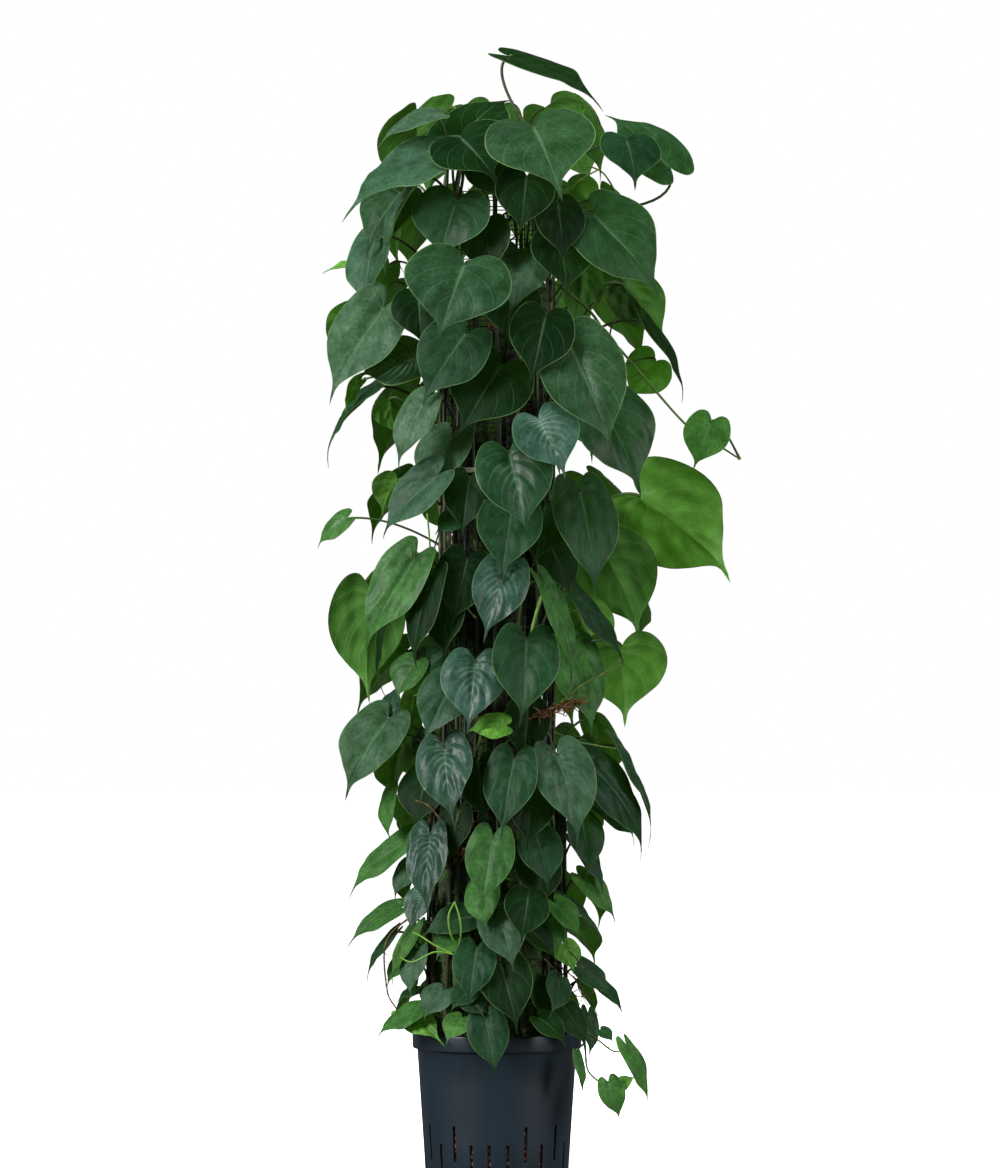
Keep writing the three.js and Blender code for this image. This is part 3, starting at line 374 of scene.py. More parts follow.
    (-15, 1230, -2, 1160, 70, 0.55, -5, 15, PAINTED_SHADE),
    (20, 1150, 12, 1075, 80, 0.55, 0, 18, PAINTED_SHADE),
    (-10, 1322, 10, 1255, 75, 0.55, -8, 15, PAINTED_SHADE),
    # In the shade lower down, close to the column
    (-30, 345, -100, 318, 48, 0.75, -20, 35, DARK),
    (40, 372, 30, 312, 60, 0.8, 10, 20, PAINTED_SHADE),
    (-24, 540, -16, 462, 62, 0.66, -5, 15, PAINTED_SHADE),
    (44, 505, 38, 430, 62, 0.66, 10, 15, PAINTED_SHADE),
    (40, 612, 34, 536, 62, 0.64, 5, 15, PAINTED_SHADE),
    (-35, 905, -45, 830, 60, 0.62, -20, 15, PAINTED_SHADE),
    (-62, 745, -66, 672, 56, 0.64, -30, 15, PAINTED_SHADE),
    (-50, 480, -56, 412, 50, 0.64, -30, 15, PAINTED_SHADE),
]
SHOOT_LEAVES = [
    ((315, -40, 932), (277, -52, 980), (253, -60, 918), 62, -5, 12, FRESH),
]
TRAILING_LEAVES = [
    ((166, -86, 175), (167, -92, 178), (197, -100, 100), 30, 40, 10, FRESH),
    ((137, -92, 128), (143, -97, 131), (159, -104, 82), 35, 5, 12, FRESH),
    ((152, -92, 121), (155, -88, 124), (180, -86, 138), 22, 0, 40, LIME_AND_PAINTED_GLOW),
    ((112, -88, 180), (104, -101, 166), (110, -106, 114), 20, 50, 5, FRESH),
    ((128, -84, 186), (134, -90, 198), (150, -98, 182), 20, 10, 40, DARK),
]
FREE_SHOOT = [(67, -28, 1168), (118, -44, 1126), (140, -50, 1094), (159, -52, 1074),
              (188, -54, 1040), (234, -52, 987), (262, -48, 962), (288, -44, 949), (315, -40, 932)]
DANGLING_ROOT = [(-80, -33, 352), (-118, -46, 336), (-144, -52, 305), (-142, -54, 249),
                 (-132, -54, 226), (-107, -56, 196)]
TRAILING_STEM = [(53, -79, 150), (53, -79, 182), (68, -86, 206), (96, -86, 207), (112, -88, 180),
                 (117, -90, 146), (137, -92, 128), (152, -92, 121)]
TRAILING_SIDE = [(96, -86, 207), (128, -84, 186), (151, -86, 170), (166, -86, 175)]
print(f"{len(FRONT_LEAVES)} leaves show from the front")

# %% [markdown]
# Places round the column are given by azimuth, distance and height, because a climbing plant
# is laid out round its support. Draws are seeded, and every leaf has a seed of its own, so a
# leaf keeps its form when another one is added.

# %% Azimuths, curves and seeded draws
def spot(x, y, z):
    """A point or a direction as an array."""
    return np.array([x, y, z], dtype=float)


def around(azimuth, radius, z):
    """A point at that azimuth and distance from the column's axis."""
    turn = math.radians(azimuth)
    return spot(radius * math.sin(turn), -radius * math.cos(turn), z)


def facing(azimuth, up):
    """The direction that an upper face looks in."""
    flat = around(azimuth, math.cos(math.radians(up)), 0)
    flat[2] = math.sin(math.radians(up))
    return flat


def curve_at(curve, height):
    """The second value of a curve's pairs at this height."""
    return float(np.interp(height, [z for z, _ in curve], [r for _, r in curve]))


def random_from(seed):
    """The plant's own seeded draws: the same numbers in any language."""
    state = (seed * 7919 + 104729) % 2147483647

    def draw():
        nonlocal state
        state = (state * 16807) % 2147483647
        return state / 2147483647

    draw()
    draw()
    return draw


def unit(vector):
    """The same direction with a length of one."""
    return vector / np.linalg.norm(vector)


print("a point at azimuth 90:", around(90, 100, 0).round(1))


# %% How a blade hangs
def leaf_frame(base, tip, normal, width, seed):
    """Where a leaf hangs: midrib, upper face, side, length, half width and its own form."""
    along = tip - base
    length = np.linalg.norm(along)
    along = along / length
    face = unit(normal - along * normal.dot(along))
    draw = random_from(seed)
    return SimpleNamespace(
        base=base, along=along, face=face, side=np.cross(face, along), length=length,
        half=width / 2, arch=0.03 + 0.06 * draw(), fold=0.05 + 0.08 * draw(),
        wave=0.03 * (draw() - 0.5), draw=draw,
    )


def blade_height(leaf, u, v):
    """Height of the blade above the plane of its frame."""
    across = np.abs(v)
    arched = leaf.length * leaf.arch * 4 * u * (1 - u)
    folded = leaf.half * 2 * leaf.fold * across * (1.6 - across)
    waved = leaf.length * leaf.wave * v * across * np.sin(5 * u + 1)
    bent = np.maximum(0, (u - DRIP_FROM) / (1 - DRIP_FROM))
    return arched + folded + waved - leaf.length * DRIP_DROP * bent ** 2


def blade_point(leaf, u, v, lift):
    """A point of the blade, u along it and v across it, lifted off its middle."""
    height = blade_height(leaf, u, v) + lift
    return (leaf.base + np.multiply.outer(u * leaf.length, leaf.along)
            + np.multiply.outer(v * leaf.half, leaf.side) + np.multiply.outer(height, leaf.face))


print(f"the tip of a blade drops by {DRIP_DROP:.0%} of its length")


# %% Leaves in front and behind
def front_leaf(row, seed, push, turn):
    """The frame of a leaf from the rows above, pushed and turned."""
    bx, bz, tx, tz, width, depth, face, up = row[:8]
    shell = curve_at(SHELL, bz)
    by = -depth * math.sqrt(max(shell * shell - bx * bx, 0.1 * shell * shell)) + push
    normal = facing(face + turn, up)
    dx, dz = tx - bx, tz - bz
    most = 0.8 * math.hypot(dx, dz)
    dy = 0.0
    if abs(normal[1]) > 0.35:
        dy = -(dx * normal[0] + dz * normal[2]) / normal[1]
    dy = min(max(dy, -most), most)
    return leaf_frame(spot(bx, by, bz), spot(tx, by + dy, tz), normal, width, seed)


def far_leaf(place, seed, push, turn):
    """The frame of a leaf behind, pushed and turned."""
    base = around(place.azimuth, curve_at(SHELL, place.z) * place.reach - push, place.z)
    normal = facing(place.azimuth + place.yaw + turn, place.up)
    down = unit(spot(0, 0, -1) + normal * normal[2])
    roll = math.radians(place.roll)
    down = down * math.cos(roll) + np.cross(normal, down) * math.sin(roll)
    tip = base + down * place.length
    return leaf_frame(base, tip, normal, place.length * place.breadth, seed)


def far_places():
    """Places behind, in rings of five and six from the crown down."""
    places = []
    z = FAR_TOP
    level = 0
    while z > FAR_FOOT:
        draw = random_from(RING_SEED + level)
        length = curve_at(BLADE_LENGTH, z)
        count = 6 if level % 2 else 5
        for i in range(count):
            places.append(SimpleNamespace(
                z=z + 30 * (draw() - 0.5),
                azimuth=180 + 29 * (i - (count - 1) / 2) + 12 * (draw() - 0.5),
                reach=0.78 + 0.2 * draw(),
                yaw=40 * (draw() - 0.5),
                up=10 + 28 * draw(),
                roll=56 * (draw() - 0.5),
                length=length * (0.85 + 0.3 * draw()),
                breadth=0.8 + 0.12 * draw(),
            ))
        z -= FAR_STEP * length
        level += 1
    return places


print(f"{len(far_places())} places behind")


# %% Stems and stalks
def stem_point(stem, z):
    """Where the middle of a climbing stem is at this height."""
    sway = STEM_SWAY * math.sin((z - 200) / 95 + stem.azimuth) if z > 200 else 0
    return around(stem.azimuth + sway, curve_at(STEM_REACH, z), z)


STEMS = {
    f"vine_{i + 1:02d}": SimpleNamespace(azimuth=-180 + 360 * i / len(STEM_TOPS), top=top)
    for i, top in enumerate(STEM_TOPS)
}


def stalk_arc(joint, leaf, bow):
    """The stalk's arc: root, crest and notch, as a quadratic curve."""
    end = blade_point(leaf, 0.0, 0.0, 0.0)
    reach = 0.3 * np.linalg.norm(end - joint)
    aside = unit(spot(end[1] - joint[1], joint[0] - end[0], 0))
    crest = end - leaf.along * reach - leaf.face * reach + aside * bow
    return joint, crest, end


print(f"{len(STEMS)} stems, the tallest {max(stem.top for stem in STEMS.values())} mm")

# %% [markdown]
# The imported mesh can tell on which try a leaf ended, because its tip and the corners of its
# stalk are points of that mesh. All points go into a tree that finds the nearest one at once,
# and each try is set against it, from the first push and turn to the last.

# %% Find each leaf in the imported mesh
# Millimetres between a worked-out point and the mesh point that it is
TOLERANCE = 0.06
marks = [(name, corners(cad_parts[name].data) / MM) for name in VINES]
index = kdtree.KDTree(sum(len(points) for _, points in marks))
owners = []
for name, points in marks:
    for point in points:
        index.insert(point, len(owners))
        owners.append(name)
index.balance()


def node_at(point):
    """The leafy stem that has a mesh point here, or None."""
    _, found, distance = index.find(point)
    return owners[found] if distance < TOLERANCE else None


def stalk_found(leaf, stem):
    """The stalk's arc whose middle corners are points of the mesh."""
    radius = 1.15 + 0.006 * leaf.length
    for rise in RISES:
        z = max(min(leaf.base[2] - rise * (30 + 0.5 * leaf.length), stem.top - 7), 187)
        for bow in BOWS:
            joint, crest, end = stalk_arc(stem_point(stem, z), leaf, bow)
            middle = joint * 0.25 + crest * 0.5 + end * 0.25
            tangent = unit(end - joint)
            across = unit(leaf.side - tangent * leaf.side.dot(tangent))
            up = np.cross(tangent, across)
            ring = [middle + (across * a + up * b) * radius for a, b in ((-0.87, 0.5), (0.87, 0.5))]
            if all(node_at(corner) for corner in ring):
                return joint, crest, end
    return None


def found_leaf(make, age):
    """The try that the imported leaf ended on, with its stem and its stalk."""
    for push in PUSHES:
        for turn in TURNS:
            leaf = make(push, turn)
            owner = node_at(blade_point(leaf, 1.0, 0.0, BLADE_THICKNESS / 2))
            if owner and node_at(blade_point(leaf, 1.0, 0.0, -BLADE_THICKNESS / 2)):
                leaf.owner = owner
                leaf.age = age
                leaf.arc = stalk_found(leaf, STEMS[owner])
                return leaf
    return None


leaves = [found_leaf(lambda push, turn: front_leaf(row, i + 1, push, turn), row[8])
          for i, row in enumerate(FRONT_LEAVES)]
for i, place in enumerate(far_places()):
    age = FRESH if i % 7 == 3 else DARK
    leaves.append(found_leaf(lambda push, turn: far_leaf(place, FAR_SEED + i, push, turn), age))
lost = sum(leaf is None for leaf in leaves)
leaves = [leaf for leaf in leaves if leaf]
print(f"found {len(leaves)} leaves, {lost} not grown, "
      f"{sum(leaf.arc is None for leaf in leaves)} without a stalk")

# %% Leaves whose stalks have a stated start
# The free shoot and the trailing stem are not round the column, so no rule places these
fixed = [(spec, SHOOT_SEED + i, "vine_12") for i, spec in enumerate(SHOOT_LEAVES)]
fixed += [(spec, TRAILING_SEED + i, "vine_trailing") for i, spec in enumerate(TRAILING_LEAVES)]
for (joint, base, tip, width, face, up, age), seed, owner in fixed:
    leaf = leaf_frame(spot(*base), spot(*tip), facing(face, up), width, seed)
    leaf.owner = owner
    leaf.age = age
    leaf.arc = stalk_arc(spot(*joint), leaf, 0)
    leaves.append(leaf)

print(f"{len(fixed)} leaves on the free shoot and the trailing stem")

# %% [markdown]
# A heart-shaped blade is modelled once, flat, in its own units: one long from notch to tip,
# and one wide on each side. A grid is added and its rows are fanned out from the midrib to
# the margin, as the side veins of a heart-shaped leaf run, so the mesh follows the growth of
# the leaf. Solidify gives it a wall. Every real leaf is a copy, bent to its own arch and fold.

# %% The blade, modelled once
HEART = [(0, 0), (0.09, -0.09), (0.33, -0.185), (0.64, -0.155), (0.88, 0.01), (0.99, 0.2),
         (0.95, 0.37), (0.78, 0.52), (0.5, 0.65), (0.26, 0.74), (0.11, 0.81), (0.05, 0.87),
         (0.03, 0.94), (0, 1)]
ROWS = 36
COLUMNS = 16
VEINS = 6.5
VEIN_BEND = 0.16


def smooth_line(points, steps=24):
    """A Catmull-Rom curve through the points, and the share of its length at each step."""
    knots = np.array([points[0], *points, points[-1]], dtype=float)
    line = []
    for p0, p1, p2, p3 in zip(knots, knots[1:], knots[2:], knots[3:]):
        for t in np.arange(steps) / steps:
            line.append(0.5 * (2 * p1 + (p2 - p0) * t + (2 * p0 - 5 * p1 + 4 * p2 - p3) * t ** 2
                               + (3 * p1 - p0 - 3 * p2 + p3) * t ** 3))
    line = np.array([*line, knots[-1]])
    share = np.concatenate([[0], np.cumsum(np.linalg.norm(np.diff(line, axis=0), axis=1))])
    return line, share / share[-1]


margin, margin_share = smooth_line(HEART)
bpy.ops.mesh.primitive_grid_add(x_subdivisions=ROWS, y_subdivisions=COLUMNS, size=2)
blade_master = started("blade_master")
flat = corners(blade_master.data)
row = (flat[:, 0] + 1) / 2
across = flat[:, 1]
edge_v = np.interp(row, margin_share, margin[:, 0])
edge_u = np.interp(row, margin_share, margin[:, 1])
midrib_u = row ** 3.2
flat[:, 0] = midrib_u + (edge_u - midrib_u) * np.abs(across)
flat[:, 1] = edge_v * across
move_corners(blade_master.data, flat)
clean(blade_master)
apply_modifier(blade_master, "SOLIDIFY", thickness=1, offset=0)
bpy.ops.object.shade_smooth_by_angle(angle=math.radians(50))
print(f"blade: {len(blade_master.data.vertices)} points")

# %% Row, column and side of each point of the blade
mesh = blade_master.data
blade_form = corners(mesh)
layer = mesh.uv_layers[0]
layer.name = "growth"
blade_uv = np.zeros((len(mesh.vertices), 2))
loops = np.empty(len(mesh.loops), dtype=np.int32)
mesh.loops.foreach_get("vertex_index", loops)
uv = np.empty(len(mesh.loops) * 2)
layer.data.foreach_get("uv", uv)
blade_uv[loops] = uv.reshape(-1, 2)
under = (blade_form[:, 2] < 0).astype(float)
print(f"{int(under.sum())} points lie on the underside")

# %% [markdown]
# A real blade is never a plain curved sheet: the tissue between the side veins is quilted, the
# midrib is sunk, the margin ripples and the tip curls. A formula on the blade's own rows and
# columns gives all of this, so that it follows the veins, with amounts drawn for each leaf.

# %% The fine form of a blade
def relief(leaf):
    """The fine form of a blade: sunk midrib, quilting, rippled margin, cup and curled tip."""
    row, column = blade_uv[:, 0], np.abs(2 * blade_uv[:, 1] - 1)
    # Where the blade narrows to notch and tip it is smooth
    room = leaf.quilt * np.clip(1.5 * np.interp(row, margin_share, margin[:, 0]) - 0.1, 0, 1)
    bent = row - VEIN_BEND * column ** 2
    between = 0.5 - 0.5 * np.cos(2 * math.pi * VEINS * bent)
    quilt = room * between * np.sin(math.pi * np.clip(column, 0, 1)) ** 0.6
    midrib = -1.1 * room * np.exp(-((column / 0.13) ** 2))
    ripple = leaf.ripple * np.sin(2 * math.pi * (2.3 * row + leaf.phase)) * column ** 4
    cup = leaf.cup * column ** 2
    curl = -leaf.curl * np.clip((blade_form[:, 0] - 0.8) / 0.2, 0, 1) ** 2
    u, v = blade_form[:, 0], blade_form[:, 1]
    dents = room * (np.sin(7 * u + 5 * v + 9 * leaf.phase) * np.sin(9 * v - 4 * u + 5 * leaf.phase))
    return quilt + midrib + dents + (ripple + cup) * np.sin(math.pi * row) + curl


print(f"{VEINS} side veins on each half")

# %% [markdown]
# Each leaf is a copy of the blade with a mesh of its own, bent to its frame. What differs from
# leaf to leaf in its finish is stored on its points: its tint, how glossy it is, and which side
# is the underside. One material can then dress them all.

# %% Copying a piece
def copy_of(master, points, name="copy"):
    """A copy of the master with its own mesh, its points moved."""
    mesh = master.data.copy()
    move_corners(mesh, points)
    piece = bpy.data.objects.new(name, mesh)
    bpy.context.scene.collection.objects.link(piece)
    return piece


def inside_box(points):
    """Points in metres, moved back together if they stand out of the solids' box."""
    low, high = np.array(cad_box)
    past = np.maximum(points.max(axis=0) - high, 0) + np.minimum(points.min(axis=0) - low, 0)
    return points - past


def set_attribute(mesh, name, kind, values):
    """A value for each point, that a material can read."""
    attribute = mesh.attributes.new(name, kind, "POINT")
    field = "color" if kind == "FLOAT_COLOR" else "value"
    attribute.data.foreach_set(field, np.asarray(values, dtype=np.float32).ravel())


print("box of the solids in metres:", np.round(cad_box, 4).tolist())

# %% A blade for every leaf
# Tones judged from the photograph: the usual colour and two others to vary it. The shaded
# tones are painted shade, the lit tone painted light, and the lime tone partly painted glow
TONE_COLOURS = {
    # Painted shade: a near-black green for leaves that stand in shadow
    PAINTED_SHADE: ("0f2a18", "0b2113", "162e1b"),
    DARK: ("2a4f37", "224233", "37563d"),
    # Painted light: a paler grey-green for dark leaves that the light falls on
    PAINTED_LIGHT: ("54735d", "486957", "5d7c62"),
    FRESH: ("538a42", "4e7d45", "62964a"),
    BLUE: ("41615a", "385550", "496a62"),
    # Yellow-green, made brighter with painted light that shines through the leaf
    LIME_AND_PAINTED_GLOW: ("78b44a", "80bc4c", "8cc658"),
    # Painted shade, as on the shaded tone, for a glossy leaf in shadow
    GLOSSY_PAINTED_SHADE: ("0e2a19", "0b2416", "14301d"),
}
QUILT = {PAINTED_SHADE: 0.9, DARK: 1.5, PAINTED_LIGHT: 1.5, FRESH: 1.5, BLUE: 2.0, LIME_AND_PAINTED_GLOW: 2.4, GLOSSY_PAINTED_SHADE: 2.6}
FINE_THICKNESS = 0.6


def blade_copy(leaf):
    """The blade bent to this leaf's frame, with its tint and gloss."""
    draw = leaf.draw
    leaf.quilt = QUILT[leaf.age] * (0.7 + 0.6 * draw()) * leaf.length / 110
    leaf.ripple = leaf.length * (0.008 + 0.016 * draw())
    leaf.phase = draw()
    leaf.cup = leaf.length * (0.02 - 0.07 * draw())
    leaf.curl = leaf.length * 0.04 * draw()
    u, v, w = blade_form.T
    v = v + 0.16 * (draw() - 0.5) * np.clip((u - 0.72) / 0.28, 0, 1) ** 2
    lift = relief(leaf) + w * FINE_THICKNESS
    piece = copy_of(blade_master, inside_box(blade_point(leaf, u, v, lift) * MM))
    shades = [np.array(colour(code)) for code in TONE_COLOURS[leaf.age]]
    mix = draw()
    tint = shades[0] * (1 - mix) + shades[1 + int(draw() * 1.999)] * mix
    count = len(piece.data.vertices)
    set_attribute(piece.data, "tint", "FLOAT_COLOR", np.tile(tint, (count, 1)))
    set_attribute(piece.data, "under", "FLOAT", under)
    # Gloss sets the real sheen and also how much painted silvery sheen a leaf gets
    gloss = {BLUE: 1.0, GLOSSY_PAINTED_SHADE: 1.0, PAINTED_SHADE: 0.0}.get(leaf.age, 0.25 + 0.65 * draw() ** 3)
    set_attribute(piece.data, "gloss", "FLOAT", np.full(count, gloss))
    return piece


blades = {name: [] for name in VINES}
for leaf in leaves:
    blades[leaf.owner].append(blade_copy(leaf))
print(f"{sum(len(group) for group in blades.values())} blades copied")

# %% [markdown]
# Living leaf is a waxy skin over green tissue. Its IOR is about 1.4, its wax gives a satin
# sheen and no mirror, and light from behind comes through turned yellow-green. A picture of a
# leaf would be the quick way, but a pattern on the leaf's own rows and columns stays sharp at
# any distance, and its veins run with the growth of each leaf.

# %% Rows, columns and veins of the finish
def growth_lines(tree, row, column, count, sharp):
    """A mask of side veins: one where the row meets a vein, falling off beside it."""
    arc = add(tree, "Math", {0: column, 1: column}, operation="MULTIPLY")
    bent = add(tree, "Math", {0: arc, 1: -VEIN_BEND, 2: row}, operation="MULTIPLY_ADD")
    turns = add(tree, "Math", {0: bent, 1: 2 * math.pi * count}, operation="MULTIPLY")
    wave = add(tree, "Math", {0: turns}, operation="COSINE")
    lifted = add(tree, "Math", {0: wave, 1: 0.5, 2: 0.5}, operation="MULTIPLY_ADD")
    return add(tree, "Math", {0: lifted, 1: sharp}, operation="POWER")


leaf_look, tree, output = new_material("philodendron_leaf")
growth = add(tree, "SeparateXYZ", {"Vector": add(tree, "UVMap", uv_map="growth")})
row = growth.outputs["X"]
centred = add(tree, "Math", {0: growth.outputs["Y"], 1: 2.0, 2: -1.0}, operation="MULTIPLY_ADD")
column = add(tree, "Math", {0: centred}, operation="ABSOLUTE")
inwards = add(tree, "Math", {0: 1.0, 1: column}, operation="SUBTRACT")
side_veins = growth_lines(tree, row, column, VEINS, 110.0)
small_veins = growth_lines(tree, row, column, VEINS * 4, 5.0)
midrib = add(tree, "Math", {0: inwards, 1: 42.0}, operation="POWER")
faint_veins = add(tree, "Math", {0: side_veins, 1: 0.22}, operation="MULTIPLY")
veins = add(tree, "Math", {0: faint_veins, 1: midrib}, operation="MAXIMUM")
under_veins = add(tree, "Math", {0: side_veins, 1: midrib}, operation="MAXIMUM")
edge = add(tree, "Math", {0: column, 1: 0.982}, operation="GREATER_THAN")
tint = add(tree, "Attribute", attribute_name="tint").outputs["Color"]
below = add(tree, "Attribute", attribute_name="under").outputs["Fac"]
gloss = add(tree, "Attribute", attribute_name="gloss").outputs["Fac"]
print(f"{len(tree.nodes)} nodes lay out the leaf's veins")

# %% [markdown]
# The upper face is dark and a little blue, with paler veins and a thin pale line round the
# margin. It is never one flat green: soft blotches a couple of centimetres across and flecks of a
# few millimetres. On the glossiest leaves a broken silvery sheen that fans out from the midrib is
# painted into the colour, a painted reflection of the sky where the quilting catches it.

# %% Upper face of the leaf
BLOTCH = 22.2
FLECK = 4.35
place = add(tree, "TexCoord").outputs["Object"]
blotches = add(tree, "TexNoise", {"Vector": place, "Scale": 1 / (BLOTCH * MM), "Detail": 3.0})
grain = add(tree, "TexNoise", {"Vector": place, "Scale": 1 / (FLECK * MM), "Detail": 3.0})
patchy = add(tree, "MapRange", {"Value": blotches, "From Min": 0.3, "From Max": 0.7})
darker = add(tree, "Mix", {SHARE: patchy, FIRST: colour("a3b5a6"), SECOND: colour("ffffff")},
             data_type="RGBA")
top_body = add(tree, "Mix", {SHARE: 1.0, FIRST: tint, SECOND: darker},
               data_type="RGBA", blend_type="MULTIPLY")
net = add(tree, "Math", {0: small_veins, 1: 0.06}, operation="MULTIPLY")
top_net = add(tree, "Mix", {SHARE: net, FIRST: top_body, SECOND: colour("4b7a4a")},
              data_type="RGBA")
flecks = add(tree, "ValToRGB", {"Fac": grain}, [(0.36, "c6cfc8"), (0.66, "ffffff")])
top_flecked = add(tree, "Mix", {SHARE: 1.0, FIRST: top_net, SECOND: flecks},
                  data_type="RGBA", blend_type="MULTIPLY")
# Painted reflection: pale silvery streaks fanning from the midrib, strongest on the glossiest leaves
streaks = growth_lines(tree, row, column, VEINS * 2, 2.5)
fading = add(tree, "Math", {0: inwards, 1: 1.8}, operation="POWER")
fan = add(tree, "Math", {0: streaks, 1: fading}, operation="MULTIPLY")
broken = add(tree, "Math", {0: fan, 1: patchy}, operation="MULTIPLY")
glossiest = add(tree, "Math", {0: gloss, 1: 6.0}, operation="POWER")
painted_sheen_strength = add(tree, "Math", {0: glossiest, 1: 0.55}, operation="MULTIPLY")
painted_sheen = add(tree, "Math", {0: broken, 1: painted_sheen_strength}, operation="MULTIPLY")
top_with_painted_sheen = add(tree, "Mix", {SHARE: painted_sheen, FIRST: top_flecked, SECOND: colour("a3b9ae")},
                  data_type="RGBA")
pale_veins = add(tree, "Math", {0: veins, 1: 0.42}, operation="MULTIPLY")
top_veined = add(tree, "Mix", {SHARE: pale_veins, FIRST: top_with_painted_sheen, SECOND: colour("7da478")},
                 data_type="RGBA")
pale_edge = add(tree, "Math", {0: edge, 1: 0.42}, operation="MULTIPLY")
top = add(tree, "Mix", {SHARE: pale_edge, FIRST: top_veined, SECOND: colour("86ab70")},
          data_type="RGBA")
print("upper face ready")

# %% [markdown]
# The underside has less wax and less leaf green, so it is lighter and more yellow. Its veins
# stand out pale, and its margin is a thin brown line.

# %% Underside of the leaf
under_body = add(tree, "Mix", {SHARE: 0.5, FIRST: tint, SECOND: colour("6fa850")},
                 data_type="RGBA")
under_net = add(tree, "Math", {0: small_veins, 1: 0.22}, operation="MULTIPLY")
under_fine = add(tree, "Mix", {SHARE: under_net, FIRST: under_body, SECOND: colour("4f8a2c")},
                 data_type="RGBA")
under_patchy = add(tree, "Mix", {SHARE: 0.8, FIRST: under_fine, SECOND: darker},
                   data_type="RGBA", blend_type="MULTIPLY")
under_lines = add(tree, "Math", {0: under_veins, 1: 0.28}, operation="MULTIPLY")
under_veined = add(tree, "Mix", {SHARE: under_lines, FIRST: under_patchy,
                                 SECOND: colour("a9cf72")}, data_type="RGBA")
brown_edge = add(tree, "Math", {0: edge, 1: 0.8}, operation="MULTIPLY")
under_face = add(tree, "Mix", {SHARE: brown_edge, FIRST: under_veined, SECOND: colour("4c4a22")},
                 data_type="RGBA")
skin = add(tree, "Mix", {SHARE: below, FIRST: top, SECOND: under_face}, data_type="RGBA")
print("underside ready")

# %% [markdown]
# The sheen tells wax from paint. It is uneven, because the wax is, and the bump breaks it up:
# cells of about a millimetre, drawn coarser than real ones so that they show, and the veins,
# which are sunk in the upper face and raised on the underside.

# %% Wax, relief and light from behind
CELL = 1.11
cells = add(tree, "TexNoise", {"Vector": place, "Scale": 1 / (CELL * MM), "Detail": 2.0})
satin = add(tree, "MapRange", {"Value": gloss, "To Min": 0.48, "To Max": 0.35})
uneven = add(tree, "MapRange", {"Value": blotches, "To Min": -0.05, "To Max": 0.07})
rough_top = add(tree, "Math", {0: satin, 1: uneven}, operation="ADD")
rough = add(tree, "Math", {0: below, 1: -0.08, 2: rough_top}, operation="MULTIPLY_ADD")
ridges = add(tree, "Math", {0: small_veins, 1: 0.25, 2: veins}, operation="MULTIPLY_ADD")
side = add(tree, "Math", {0: below, 1: 2.6, 2: -1.0}, operation="MULTIPLY_ADD")
fine_cells = add(tree, "Math", {0: cells, 1: 0.3}, operation="MULTIPLY")
skin_grain = add(tree, "Math", {0: grain, 1: 2.2, 2: fine_cells}, operation="MULTIPLY_ADD")
form = add(tree, "Math", {0: ridges, 1: side, 2: skin_grain}, operation="MULTIPLY_ADD")
bump = add(tree, "Bump", {"Strength": 0.4, "Distance": 0.6 * MM, "Height": form})
shine = add(tree, "Math", {0: below, 1: 0.5, 2: gloss}, operation="MULTIPLY_ADD")
level = add(tree, "MapRange", {"Value": shine, "To Min": 0.13, "To Max": 0.52})
waxy = add(tree, "BsdfPrincipled", {"Base Color": skin, "Roughness": rough, "IOR": 1.38,
                                    "Specular IOR Level": level, "Normal": bump})
glow = add(tree, "Mix", {SHARE: 0.7, FIRST: skin, SECOND: colour("a4d648")}, data_type="RGBA")
through = add(tree, "BsdfTranslucent", {"Color": glow})
leaf = add(tree, "MixShader", {0: 0.27, 1: waxy, 2: through})
tree.links.new(leaf.outputs[0], output.inputs["Surface"])
print(f"leaf finish ready, {len(tree.nodes)} nodes")

# %% [markdown]
# The blades of one stem become one piece. It gets its finish and the body that it rides on, and
# the imported solid that it stands for is hidden.

# %% Handing a piece over
def joined(pieces, name):
    """One object of several, under one name."""
    only(*pieces)
    if len(pieces) > 1:
        bpy.ops.object.join()
    return started(name)


def dress(piece, look, slot, *nodes):
    """Gives a finished piece its material, its body and the nodes it stands for; its slot is not
    used.
    """
    piece.data.materials.clear()
    piece.data.materials.append(look)
    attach(piece, "root")
    if nodes:
        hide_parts(*nodes)
    piece.data.calc_loop_triangles()
    print(f"{piece.name}: {len(piece.data.loop_triangles)} triangles")


for name in VINES:
    piece = joined(blades[name], f"{name}_blades")
    dress(piece, leaf_look, "living_plant", name)
bpy.data.objects.remove(blade_master)

# %% [markdown]
# A stalk, a stem and a root are all tubes that taper and swell. A straight round tube is
# modelled once with rings along it: a disc is added, drawn up, and its long edges are cut
# across. A copy is then laid along each path, ring by ring.

# %% A straight tube with rings
def cut_long_edges(piece, cuts):
    """Cuts the upright edges of a unit cylinder across, so that it has rings."""
    only(piece)
    bpy.ops.object.mode_set(mode="EDIT")
    bpy.ops.mesh.select_mode(type="EDGE")
    bpy.ops.mesh.select_all(action="DESELECT")
    bpy.ops.object.mode_set(mode="OBJECT")
    for item in piece.data.edges:
        low, high = (piece.data.vertices[i].co.z for i in item.vertices)
        item.select = abs(low - high) > 0.5
    bpy.ops.object.mode_set(mode="EDIT")
    bpy.ops.mesh.subdivide(number_cuts=cuts)
    bpy.ops.mesh.select_mode(type="VERT")
    bpy.ops.object.mode_set(mode="OBJECT")


